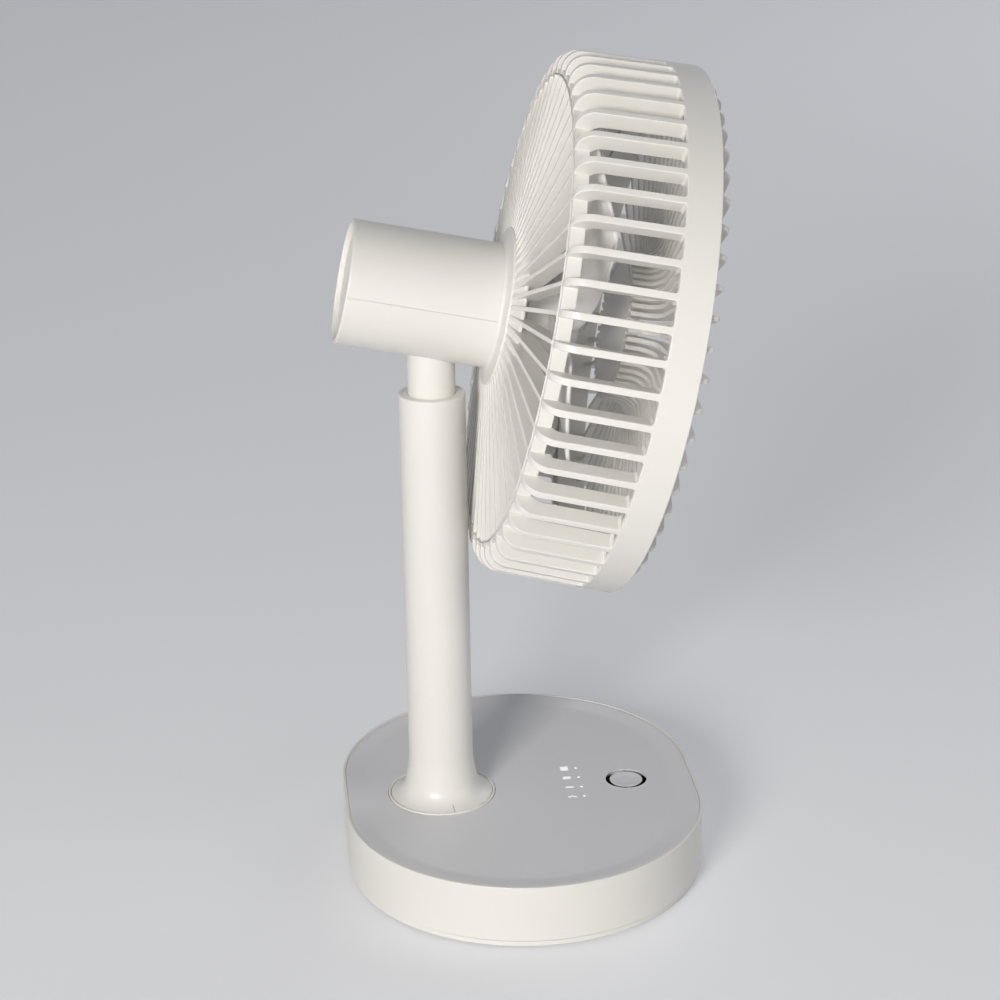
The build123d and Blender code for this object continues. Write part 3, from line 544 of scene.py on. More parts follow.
class Finish:
    """A finish, or the surroundings, drawn in nodes."""

    def __init__(self, name, owner=None):
        self.owner = owner or bpy.data.materials.new(name)
        self.owner.use_nodes = True
        self.tree = self.owner.node_tree
        self.tree.nodes.clear()

    def node(self, kind, settings=None, sockets=None, output=0):
        """One node of a kind, with its settings first and then its sockets."""
        made = self.tree.nodes.new(kind)
        for key, value in (settings or {}).items():
            setattr(made, key, value)
        for key, value in (sockets or {}).items():
            if isinstance(value, Wire):
                self.tree.links.new(value.socket, made.inputs[key])
            else:
                made.inputs[key].default_value = value
        return Wire(self, made.outputs[output]) if made.outputs else None

    def place(self, stretch=(1, 1, 1)):
        """Place on the piece, stretched along its axes."""
        here = self.node("ShaderNodeTexCoord", output="Object")
        return self.node("ShaderNodeVectorMath", {"operation": "MULTIPLY"}, {0: here, 1: stretch})

    def noise(self, grain, detail=2.0, stretch=(1, 1, 1)):
        """Cloudy value with a grain of that size."""
        return self.node("ShaderNodeTexNoise", None, {
            "Vector": self.place(stretch), "Scale": 1 / grain, "Detail": detail, "Roughness": 0.55})

    def specks(self, spacing, radius):
        """One where a rare speck lies, else zero."""
        cells = self.node("ShaderNodeTexVoronoi", None, {"Vector": self.place(), "Scale": 1 / spacing})
        return self.ease(cells, radius / spacing, 0.4 * radius / spacing)

    def ease(self, value, start, finish):
        """Smooth step from zero to one."""
        return self.node("ShaderNodeMapRange", {"interpolation_type": "SMOOTHSTEP"}, {
            "Value": value, "From Min": start, "From Max": finish})

    def mix(self, factor, first, second):
        """Colour between two colours."""
        return self.node("ShaderNodeMix", {"data_type": "RGBA"}, {0: factor, 6: first, 7: second}, output=2)

    def tint(self, factor, colour, low, high):
        """One colour between a darker and a lighter tone."""
        return self.mix(factor, toned(colour, low), toned(colour, high))

    def bump(self, height, depth, strength=1.0, under=None):
        """Normal from a height."""
        sockets = {"Height": height, "Distance": depth, "Strength": strength}
        if under:
            sockets["Normal"] = under
        return self.node("ShaderNodeBump", None, sockets)

    def principled(self, **sockets):
        """Close the finish with a surface shader."""
        named = {key.replace("_", " ").title().replace("Ior", "IOR"): value for key, value in sockets.items()}
        surface = self.node("ShaderNodeBsdfPrincipled", None, named)
        self.node("ShaderNodeOutputMaterial", None, {"Surface": surface})
        return self.owner

    def seen(self):
        """One where the camera looks, also in a mirror or through a clear piece."""
        kinds = ("Camera", "Glossy", "Transmission")
        camera, mirror, clear = (self.node("ShaderNodeLightPath", output=f"Is {kind} Ray") for kind in kinds)
        return (camera + mirror + clear).math("MINIMUM", 1.0)


def toned(colour, factor):
    """A colour lightened or darkened, with full cover."""
    return tuple(min(1.0, part * factor) for part in colour) + (1.0,)


def moulded(name, colour, gloss, grain, texture):
    """Moulded plastic: faint flow clouds, rare specks and a fine eroded grain."""
    finish = Finish(name)
    clouds = finish.noise(60 * MM, 3.0)
    base = finish.tint(clouds, colour, 0.965, 1.02)
    base = finish.mix(finish.specks(9 * MM, 0.35 * MM) * 0.35, base, toned(colour, 0.62))
    fine = finish.noise(grain, 2.0)
    normal = finish.bump(fine, texture)
    normal = finish.bump(finish.noise(14 * MM, 1.0), 0.02 * MM, 0.5, normal)
    roughness = gloss + 0.08 * finish.noise(5 * MM, 4.0) + 0.06 * fine
    return finish.principled(base_color=base, roughness=roughness, normal=normal, ior=1.49)


def warm_white_plastic(name, colours):
    """Matt warm white of the mouldings."""
    return moulded(name, colours.body, 0.27, 0.45 * MM, 0.010 * MM)


def deck_plastic(name, colours):
    """Cooler white of the deck, with a finer grain. Its cooler, greyer tone than the body's is painted shade
    and a painted cool reflection on the upward-facing deck.
    """
    return moulded(name, colours.deck, 0.36, 0.35 * MM, 0.009 * MM)


def blade_plastic(name, colours):
    """Smooth grey white of the impeller. Its lift above the body's tone is painted light, for light that
    falls on the blades through the guard's slots.
    """
    return moulded(name, colours.blade, 0.28, 0.8 * MM, 0.004 * MM)


def pale_inner_plastic(name, colours):
    """Plain inner mouldings."""
    return moulded(name, colours.inner, 0.46, 0.6 * MM, 0.012 * MM)


def tube_finish(name, colours):
    """Satin tube with faint draw lines along its length."""
    finish = Finish(name)
    lines = finish.noise(0.6 * MM, 3.0, (1, 1, 0.012))
    base = finish.tint(lines, colours.tube, 0.97, 1.01)
    normal = finish.bump(lines, 0.008 * MM)
    roughness = 0.30 + 0.12 * lines
    return finish.principled(base_color=base, roughness=roughness, normal=normal, ior=1.5)


def steel(name, colours):
    """Bright steel with fine turning marks."""
    finish = Finish(name)
    marks = finish.noise(0.25 * MM, 3.0, (1, 1, 0.2))
    base = finish.tint(finish.noise(3 * MM), colours.steel, 0.88, 1.06)
    normal = finish.bump(marks, 0.004 * MM)
    roughness = 0.24 + 0.16 * marks
    return finish.principled(base_color=base, metallic=1.0, roughness=roughness, normal=normal)


def grey_rubber(name, colours):
    """Soft rubber with a pebbled skin."""
    finish = Finish(name)
    pebbles = finish.node("ShaderNodeTexVoronoi", None, {"Vector": finish.place(), "Scale": 1 / (0.5 * MM)})
    base = finish.tint(finish.noise(4 * MM), colours.rubber, 0.86, 1.12)
    normal = finish.bump(pebbles, 0.03 * MM, 0.7)
    return finish.principled(base_color=base, roughness=0.72 + 0.12 * pebbles, normal=normal)


def felt(name, colours):
    """Pressed felt with loose fibres."""
    finish = Finish(name)
    fibres = finish.noise(0.3 * MM, 6.0, (1, 1, 0.4))
    base = finish.tint(fibres, colours.rubber, 0.7, 1.7)
    normal = finish.bump(fibres, 0.12 * MM)
    return finish.principled(base_color=base, roughness=0.9, normal=normal, sheen_weight=0.4)


def cell_wrap(name, colours):
    """Shrink film of the battery cells, with faint creases."""
    finish = Finish(name)
    creases = finish.noise(1.2 * MM, 4.0, (1, 0.15, 1))
    base = finish.tint(creases, colours.film, 0.85, 1.1)
    normal = finish.bump(creases, 0.05 * MM, 0.6)
    return finish.principled(base_color=base, roughness=0.22 + 0.1 * creases, normal=normal, coat_weight=0.3)


def board_green(name, colours):
    """Circuit board: green mask over raised copper tracks."""
    finish = Finish(name)
    tracks = finish.node("ShaderNodeTexBrick", {"offset": 0.37, "squash": 1.6, "squash_frequency": 3}, {
        "Vector": finish.place(), "Scale": 1 / (6 * MM), "Mortar Size": 0.07, "Mortar Smooth": 0.15,
    }, output="Fac")
    base = finish.mix(tracks, toned(colours.board, 0.85), toned(colours.track, 1.0))
    normal = finish.bump(tracks, 0.04 * MM)
    roughness = 0.3 + 0.12 * finish.noise(1.5 * MM)
    return finish.principled(base_color=base, roughness=roughness, normal=normal, coat_weight=0.2)


def black_plastic(name, colours):
    """Black plastic of the switch."""
    return moulded(name, colours.switch, 0.42, 0.3 * MM, 0.012 * MM)


def led_body(name, colours):
    """Small light with a yellow middle."""
    return moulded(name, colours.led, 0.3, 0.4 * MM, 0.006 * MM)


def lens_plastic(name, colours):
    """Milky lens of a level light, with a faint painted glow in its own colour while the lights under it are
    drawn unlit.
    """
    finish = Finish(name)
    milk = finish.noise(0.8 * MM, 3.0)
    base = finish.tint(milk, colours.lens, 0.96, 1.0)
    normal = finish.bump(milk, 0.004 * MM)
    # Painted glow: the emission makes the lens shine faintly in its own colour.
    return finish.principled(
        base_color=base, roughness=0.42 + 0.08 * milk, normal=normal, emission_color=toned(colours.lens, 1.0),
        emission_strength=0.4)


def print_ink(name, colours):
    """White ink of the level marks, a little uneven from its screen, with a faint painted glow that brightens
    the printed ink.
    """
    finish = Finish(name)
    screen = finish.noise(0.25 * MM, 2.0)
    base = finish.tint(screen, colours.mark, 0.94, 1.0)
    # Painted glow: the emission makes the printed ink shine faintly in its own colour.
    return finish.principled(
        base_color=base, roughness=0.42 + 0.1 * screen, normal=finish.bump(screen, 0.006 * MM),
        emission_color=toned(colours.mark, 1.0), emission_strength=0.4)


SLOTS = {draw.__name__: draw for draw in (
    warm_white_plastic, deck_plastic, blade_plastic, tube_finish, pale_inner_plastic, steel, grey_rubber,
    felt, cell_wrap, board_green, black_plastic, led_body, lens_plastic,
)}


def finish_of(slot):
    """The finish of a slot, drawn the first time that it is asked for."""
    name = f"finish_{slot}"
    drawn = SLOTS.get(slot, print_ink)
    return bpy.data.materials.get(name) or drawn(name, bpy.context.scene.fan.colours)


def deck_floor(base):
    """Height of the deck's floor."""
    return base.rim - base.deck_drop


def deck_under(base):
    """Height of the deck's underside."""
    return deck_floor(base) - base.deck_thickness


def level_places(base):
    """Level lights from side to side, the highest level first."""
    return [base.lens_pitch * step for step in (1.5, 0.5, -0.5, -1.5)]


def slot_outline(centre, half_run, radius, steps=10):
    """Round-ended slot as points across and up."""
    right = arc((centre[0] + half_run, centre[1]), radius, -90, 90, steps)
    left = arc((centre[0] - half_run, centre[1]), radius, 90, 270, steps)
    return right + left


class FAN_OT_base_shell(bpy.types.Operator):
    """Side wall of the base, with the opening for the charging socket"""

    bl_idname = "fan.base_shell"
    bl_label = "Base shell"

    def execute(self, context):
        sizes = context.scene.fan.base
        under = deck_under(sizes)
        shelf = under - 2.0 * MM
        ledge = sizes.rim_width + sizes.ledge
        flare = 0.5 * MM
        wall = eased(
            (0, sizes.bottom, 0.4 * MM),
            (0, sizes.rim, sizes.rim_rounding),
            (sizes.rim_width, sizes.rim, 0.12 * MM),
            (sizes.rim_width, under),
            (ledge, under),
            (ledge, shelf),
            (sizes.wall, shelf),
            (sizes.wall, sizes.bottom),
        )
        shell = oblong(wall, sizes).piece("base_shell_moulding")
        socket_low, socket_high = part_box("charging_socket")
        middle = (socket_low + socket_high) / 2
        radius = (socket_high.z - socket_low.z) / 2 + sizes.seam
        half_run = (socket_high.x - socket_low.x) / 2 + sizes.seam - radius
        mouth = slot_outline((middle.x, middle.z), half_run, radius)
        flared = slot_outline((middle.x, middle.z), half_run, radius + flare)
        face = sizes.length / 2
        rows = []
        for outline, depth in ((mouth, -8.0 * MM), (mouth, -flare), (flared, 0.0), (flared, MM)):
            rows.append([Vector((across, face + depth, up)) for across, up in outline])
        combine(shell, Shell().skin(rows, capped=True).piece("socket_cutter"), "DIFFERENCE")
        dress(shell, "base", "warm_white_plastic", "base_shell")
        return {"FINISHED"}


class FAN_OT_deck(bpy.types.Operator):
    """Dished deck with the openings for the column, the button and the level lights"""

    bl_idname = "fan.deck"
    bl_label = "Deck"

    def execute(self, context):
        sizes = context.scene.fan.base
        column = context.scene.fan.column
        floor = deck_floor(sizes)
        under = deck_under(sizes)
        edge = sizes.rim - sizes.deck_edge_drop
        plate = eased(
            (sizes.rim_width + sizes.seam, under),
            (sizes.rim_width + sizes.seam, edge, 0.12 * MM),
            (sizes.dish_outer, edge, 1.2 * MM),
            (sizes.dish_inner, floor, 20.0 * MM),
            (sizes.dish_inner + 6.0 * MM, floor),
        )
        deck = oblong(plate, sizes, filled=True).piece("deck_moulding")
        places = level_places(sizes)
        below = under - MM
        foot = Matrix.Translation((0, column.place, 0))
        foot_hole = self.opening(column.flare_radius + sizes.seam, below, floor, 0.45 * MM, foot)
        combine(deck, foot_hole, "DIFFERENCE")
        button = Matrix.Translation((0, sizes.button_y, 0))
        bead_top = floor + sizes.hole_bead
        bead_low = floor - 0.8 * MM
        bead_inner = sizes.hole_radius - 0.5 * MM
        bead_outer = sizes.hole_radius + 0.8 * MM
        bead = eased(
            (bead_inner, bead_low),
            (bead_outer, bead_low),
            (bead_outer, floor - 0.05 * MM),
            (sizes.hole_radius + 0.5 * MM, bead_top, 0.3 * MM),
            (bead_inner, bead_top),
        )
        combine(deck, lathe(bead).piece("hole_bead", button), "UNION")
        hole = self.opening(sizes.hole_radius, below, bead_top, sizes.hole_lip, button, sizes.relief)
        combine(deck, hole, "DIFFERENCE")
        for x in places:
            lens = Matrix.Translation((x, sizes.lens_y, 0))
            lens_hole = self.opening(sizes.lens_radius + sizes.lens_gap, below, floor, sizes.hole_lip, lens)
            combine(deck, lens_hole, "DIFFERENCE")
        key_top = floor - sizes.key_drop
        key_low = under + 0.05 * MM
        key_ends = (sizes.hole_radius + sizes.relief + 0.4 * MM, sizes.button_radius + 0.3 * MM)
        key = bar([((end, key_top), (end, key_low), sizes.key_width) for end in key_ends], 0.2 * MM)
        for side in (0.0, math.pi):
            combine(deck, key.piece("button_key", button @ Matrix.Rotation(side, 4, "Z")), "UNION")
        dress(deck, "base", "deck_plastic", "base_top_plate")
        return {"FINISHED"}

    def opening(self, radius, low, high, lip, place, relief=0.0):
        """Round cutter up through a height: its lip is rounded there, and relief widens it below."""
        outline = [Vector((0, low)), Vector((radius + relief, low))]
        if relief:
            ledge = high - 2 * lip
            outline += [Vector((radius + relief, ledge)), Vector((radius, ledge))]
        outline += arc((radius + lip, high - lip), lip, 180, 90, 4)
        outline += [Vector((radius + lip, high + MM)), Vector((0, high + MM))]
        return lathe(outline, 96).piece("opening_cutter", place)


class FAN_OT_button(bpy.types.Operator):
    """Push button with two ears that hold it under the deck"""

    bl_idname = "fan.button"
    bl_label = "Push button"

    def execute(self, context):
        sizes = context.scene.fan.base
        ear_top = deck_under(sizes) - 0.15 * MM
        ear_low = ear_top - sizes.ear_height
        place = Matrix.Translation((0, sizes.button_y, 0))
        top = BUTTON_HIGH.z
        skirt = sizes.button_radius - sizes.button_taper
        outline = eased(
            (0, BUTTON_LOW.z),
            (sizes.button_stem, BUTTON_LOW.z),
            (sizes.button_stem, ear_low),
            (skirt, ear_low, 0.2 * MM),
            (skirt, top - 1.8 * MM),
            (sizes.button_radius, top - 0.25 * MM),
            (sizes.button_radius, top, 0.12 * MM),
            (sizes.button_radius - 0.9 * MM, top, 3.0 * MM),
            (sizes.button_radius - 4.2 * MM, top - sizes.button_dish, 12.0 * MM),
            (0, top - sizes.button_dish),
        )
        button = lathe(outline).piece("push_button", place)
        ends = (BUTTON_LOW.x, BUTTON_HIGH.x)
        ears = bar([((x, ear_top), (x, ear_low), sizes.ear_width) for x in ends], 0.2 * MM)
        combine(button, ears.piece("button_ears", place), "UNION")
        dress(button, "button", "deck_plastic", "power_button")
        return {"FINISHED"}


class FAN_OT_level_lights(bpy.types.Operator):
    """Level lights, and the printed mark beside each"""

    bl_idname = "fan.level_lights"
    bl_label = "Level lights"

    def execute(self, context):
        sizes = context.scene.fan.base
        floor = deck_floor(sizes)
        outline = eased(
            (0, LENS_LOW.z),
            (sizes.lens_radius, LENS_LOW.z),
            (sizes.lens_radius, floor + 0.05 * MM, 0.3 * MM),
            (0, floor + 0.25 * MM),
        )
        places = level_places(sizes)
        lenses = lathe(outline, 32).copies([Matrix.Translation((x, sizes.lens_y, 0)) for x in places])
        dress(lenses.piece("level_lenses"), "base", "lens_plastic", "indicator_lenses")
        marks = Shell()
        widths = (3.9 * MM, 2.3 * MM, 1.2 * MM)
        for x, width in zip(places, widths):
            marks.join(self.mark(self.oblong_mark(sizes, width), (x, sizes.mark_y), floor))
        marks.join(self.mark(self.low_mark(), (places[-1], sizes.mark_y), floor))
        dress(marks.piece("level_marks"), "base", "print_ink")
        return {"FINISHED"}

    def mark(self, outline, place, floor):
        """Thin inked plate on the deck."""
        rows = []
        sunk, proud = 0.1 * MM, 0.04 * MM
        for height in (floor - sunk, floor + proud):
            rows.append([Vector((place[0] + spot.x, place[1] + spot.y, height)) for spot in outline])
        return Shell().skin(rows, capped=True)

    def oblong_mark(self, sizes, width):
        """Bar with eased corners."""
        length, rounding = sizes.mark_length, sizes.mark_rounding
        return eased(
            (-width / 2, -length / 2, rounding),
            (width / 2, -length / 2, rounding),
            (width / 2, length / 2, rounding),
            (-width / 2, length / 2, rounding),
        )

    def low_mark(self):
        """Thin bar with a small crest, for the lowest level."""
        line = ((-0.4, -1.9), (-0.3, -0.7), (0.7, 0.0), (-0.2, 0.7), (0.0, 1.9))
        half = 0.5
        upper = [Vector((x + half, y)) * MM for x, y in line]
        lower = [Vector((x - half, y)) * MM for x, y in reversed(line)]
        return upper + lower


class FAN_OT_column(bpy.types.Operator):
    """Column with a smooth flared foot"""

    bl_idname = "fan.column"
    bl_label = "Column"

    def execute(self, context):
        sizes = context.scene.fan.column
        base = context.scene.fan.base
        floor = deck_floor(base)
        under = deck_under(base)
        bead_inner = sizes.flare_radius - sizes.bead_width
        bead_top = floor + sizes.bead_height
        groove_floor = floor - 0.35 * MM
        outline = eased(
            (sizes.bore, COLUMN_LOW.z),
            (COLUMN_HIGH.x, COLUMN_LOW.z),
            (COLUMN_HIGH.x, under),
            (sizes.flare_radius, under),
            (sizes.flare_radius, bead_top, 0.4 * MM),
            (bead_inner, bead_top, 0.4 * MM),
            (bead_inner, groove_floor),
            (bead_inner - sizes.bead_groove, groove_floor),
            (bead_inner - sizes.bead_groove, floor + 0.3 * MM, 0.25 * MM),
            (sizes.radius + 2.6 * MM, floor + 2.2 * MM, 9.0 * MM),
            (sizes.radius, floor + sizes.flare_height, 30.0 * MM),
            (sizes.radius, sizes.top, sizes.rounding),
            (sizes.bore, sizes.top, 0.1 * MM),
        )
        place = Matrix.Translation((0, sizes.place, 0))
        column = lathe(outline).piece("column_moulding", place)
        notch_end = bead_inner - 0.1 * MM
        notch_start = notch_end - sizes.notch_length
        notch_top = floor + 4.0 * MM
        notch = bar([
            ((notch_start, notch_top), (notch_start, floor + 0.9 * MM), sizes.notch_width),
            ((notch_end, notch_top), (notch_end, floor - 0.2 * MM), sizes.notch_width),
        ], 0.1 * MM)
        notch_place = place @ Matrix.Rotation(sizes.notch_turn, 4, "Z")
        combine(column, notch.piece("notch_cutter", notch_place), "DIFFERENCE")
        dress(column, "base", "warm_white_plastic", "column")
        return {"FINISHED"}


class FAN_OT_housing(bpy.types.Operator):
    """Two halves of the motor housing and the dished cap at its rear"""

    bl_idname = "fan.housing"
    bl_label = "Motor housing"

    def execute(self, context):
        sizes = context.scene.fan.housing
        upper = self.half(sizes, 0.0).piece("housing_upper_moulding", HEAD)
        dress(upper, "head", "warm_white_plastic", "housing_upper")
        lower = self.half(sizes, math.pi).piece("housing_lower_moulding", HEAD)
        combine(lower, self.swing(sizes).piece("swing_cutter", HEAD), "DIFFERENCE")
        for x in (-sizes.screw_x, sizes.screw_x):
            well = screw_well((x, sizes.screw_up, sizes.screw_ahead), 1.2 * sizes.radius)
            combine(lower, well, "DIFFERENCE")
        dress(lower, "head", "warm_white_plastic", "housing_lower")
        bore = sizes.radius - sizes.wall
        front = sizes.rear + sizes.cap_drop + sizes.cap_thickness
        rear = sizes.rear + sizes.cap_drop
        cap = eased(
            (0, front),
            (bore - sizes.cap_gap, front),
            (bore - sizes.cap_gap, rear, 0.5 * MM),
            (bore - 2.4 * MM, rear, 1.5 * MM),
            (bore - 7.2 * MM, rear + sizes.cap_dish, 9.0 * MM),
            (0, rear + sizes.cap_dish),
        )
        dress(lathe(cap).piece("rear_cap_moulding", HEAD), "head", "warm_white_plastic", "rear_cap")
        return {"FINISHED"}

    def half(self, sizes, start):
        """Half of the barrel, its edges eased along the parting line."""
        bore = sizes.radius - sizes.wall
        barrel = eased(
            (bore, sizes.front),
            (sizes.radius, sizes.front, 0.2 * MM),
            (sizes.radius, sizes.rear, 0.9 * MM),
            (bore, sizes.rear, 0.7 * MM),
        )
        gap = math.asin(sizes.parting / 2 / sizes.radius)
        fine = math.asin(sizes.easing / sizes.radius)
        turns = 64
        swept = math.pi - 2 * gap - 2 * fine
        angles = [gap] + [gap + fine + swept * step / turns for step in range(turns + 1)] + [math.pi - gap]
        rows = []
        for index, angle in enumerate(angles):
            drawn_in = sizes.easing if index in (0, len(angles) - 1) else 0.0
            row = []
            for radius, height in barrel:
                near = min(radius, sizes.radius - drawn_in)
                row.append(Vector((near * math.cos(start + angle), near * math.sin(start + angle), height)))
            rows.append(row)
        return Shell().skin(rows, capped=True)

    def swing(self, sizes):
        """Cutter for the mast's swing: a round-ended wedge spreading from the tilt pin."""
        rows = []
        steps = 12
        for reach in (14.0 * MM, 2 * sizes.radius):
            row = []
            for lean, outward in ((-sizes.slot_rear, -1), (sizes.slot_front, 1)):
                down = self.down(-lean)
                beside = Vector((0, -down.z, down.y)) * outward
                for step in range(steps + 1):
                    angle = math.pi * (step / steps - 0.5)
                    offset = ACROSS * (outward * math.sin(angle)) + beside * math.cos(angle)
                    row.append(down * reach + offset * sizes.slot_radius)
            rows.append(row)
        return Shell().skin(rows, capped=True)

    def down(self, lean):
        """Direction from the tilt pin, leaning ahead of straight down."""
        return Vector((0, -math.cos(lean), math.sin(lean)))


class FAN_OT_rear_guard(bpy.types.Operator):
    """Drum guard: hub, rear ribs, ring, side ribs and band in one moulding"""

    bl_idname = "fan.rear_guard"
    bl_label = "Rear guard"

    def execute(self, context):
        sizes = context.scene.fan.rear_guard
        housing = context.scene.fan.housing
        slope = (sizes.drum_radius - sizes.shoulder_radius) / (sizes.drum_front - sizes.drum_rear)
        band_rear = sizes.drum_radius - slope * (sizes.drum_front - sizes.slot_end)
        rib_end = sizes.drum_rear - 0.2 * MM
        spigot = housing.radius - housing.wall - sizes.spigot_gap
        hub = eased(
            (sizes.hub_bore, sizes.hub_floor),
            (sizes.spigot_bore, sizes.hub_floor),
            (sizes.spigot_bore, sizes.spigot_rear),
            (spigot, sizes.spigot_rear),
            (spigot, housing.front),
            (housing.radius, housing.front, 0.2 * MM),
            (housing.radius + 0.3 * MM, sizes.flare_front - 0.9 * MM, 1.6 * MM),
            (sizes.flare_radius, sizes.flare_front, 0.3 * MM),
            (sizes.flare_radius, sizes.flare_front + 1.0 * MM, 0.3 * MM),
            (sizes.hub_radius, sizes.plate_rear, 0.3 * MM),
            (sizes.hub_radius, sizes.plate_front, 0.3 * MM),
            (sizes.hub_radius - sizes.plate_rim, sizes.plate_front),
            (sizes.hub_radius - sizes.plate_rim, sizes.hub_front, 0.4 * MM),
            (sizes.hub_bore, sizes.hub_front),
        )
        lip_inner = sizes.ring_outer - sizes.groove
        pad_inner = sizes.ring_outer + sizes.groove
        ring = eased(
            (sizes.ring_inner, sizes.ring_rear, 0.4 * MM),
            (lip_inner, sizes.ring_rear),
            (lip_inner, rib_end, 0.1 * MM),
            (sizes.ring_outer, rib_end, 0.1 * MM),
            (sizes.ring_outer, sizes.ring_rear),
            (pad_inner, sizes.ring_rear),
            (pad_inner, sizes.pad_rear, 0.15 * MM),
            (sizes.pad_outer, sizes.pad_rear, 0.4 * MM),
            (sizes.pad_outer, sizes.ring_front, 0.4 * MM),
            (sizes.ring_inner, sizes.ring_front, 0.4 * MM),
        )
        band_bore = sizes.drum_radius - sizes.band_wall - (sizes.drum_radius - sizes.shoulder_radius) / 4
        band = eased(
            (band_bore, sizes.slot_end, 0.3 * MM),
            (band_rear, sizes.slot_end, 0.45 * MM),
            (sizes.drum_radius, sizes.drum_front, 0.7 * MM),
            (band_bore, sizes.drum_front, 0.3 * MM),
        )
        turned = lathe(hub)
        for outline in (ring, band):
            turned.join(lathe(outline, 5 * sizes.ribs))
        guard = turned.piece("rear_guard_moulding", HEAD)
        side = bar(self.side_stations(sizes), sizes.side_rounding).around(sizes.ribs, sizes.phase)
        combine(guard, side.piece("side_ribs", HEAD), "UNION")
        rear = bar(self.rear_stations(sizes), sizes.rear_rounding).around(sizes.ribs, sizes.phase)
        combine(guard, rear.piece("rear_ribs", HEAD), "UNION")
        well = screw_well((0, -band_bore - MM, sizes.screw_ahead), 9.0 * MM)
        combine(guard, well, "DIFFERENCE")
        dress(guard, "head", "warm_white_plastic", "rear_guard")
        return {"FINISHED"}

    def side_stations(self, sizes):
        """Side rib: out along the rear face, round the corner and forward to the band."""
        start = sizes.ring_outer + sizes.groove + 0.05 * MM
        width = sizes.side_width
        front = sizes.ring_front - 0.1 * MM
        corner = (sizes.shoulder_radius - sizes.corner, sizes.drum_rear + sizes.corner)
        inner_reach = sizes.shoulder_radius - sizes.side_depth - sizes.inner_corner
        inner_corner = (inner_reach, front + sizes.inner_corner)
        outer = [Vector((start, sizes.drum_rear))] + arc(corner, sizes.corner, -90, 0, 12)
        inner = [Vector((start - 0.1 * MM, front))] + arc(inner_corner, sizes.inner_corner, -90, 0, 12)
        stations = [(far, near, width) for far, near in zip(outer, inner)]
        steps = 6
        for step in range(steps + 2):
            swept = min(step, steps) / steps * math.pi / 2
            ahead = sizes.slot_end - sizes.web * (1 - math.sin(swept)) + 0.5 * MM * max(0, step - steps)
            along = (sizes.drum_front - ahead) / (sizes.drum_front - sizes.drum_rear)
            radius = sizes.drum_radius + (sizes.shoulder_radius - sizes.drum_radius) * along
            wide = width + 2 * sizes.web * (1 - math.cos(swept))
            stations.append(((radius, ahead), (radius - sizes.side_depth, ahead), wide))
        return stations

    def rear_stations(self, sizes):
        """Rear rib: from the hub's flare out to the ring."""
        start = Vector((sizes.flare_radius - 0.7 * MM, sizes.flare_front + 0.6 * MM))
        finish = Vector((sizes.ring_outer - sizes.groove / 2, sizes.drum_rear - 0.3 * MM))
        hub_share = (sizes.hub_radius - start.x) / (finish.x - start.x)
        flare_depth, hub_depth = 35.0 * MM, 38.0 * MM
        return [
            (start, (sizes.flare_radius, flare_depth), sizes.rear_width),
            (start.lerp(finish, hub_share), (sizes.hub_radius, hub_depth), sizes.rear_width),
            (finish, (finish.x - 0.1 * MM, sizes.ring_front - 0.2 * MM), sizes.rear_width),
        ]


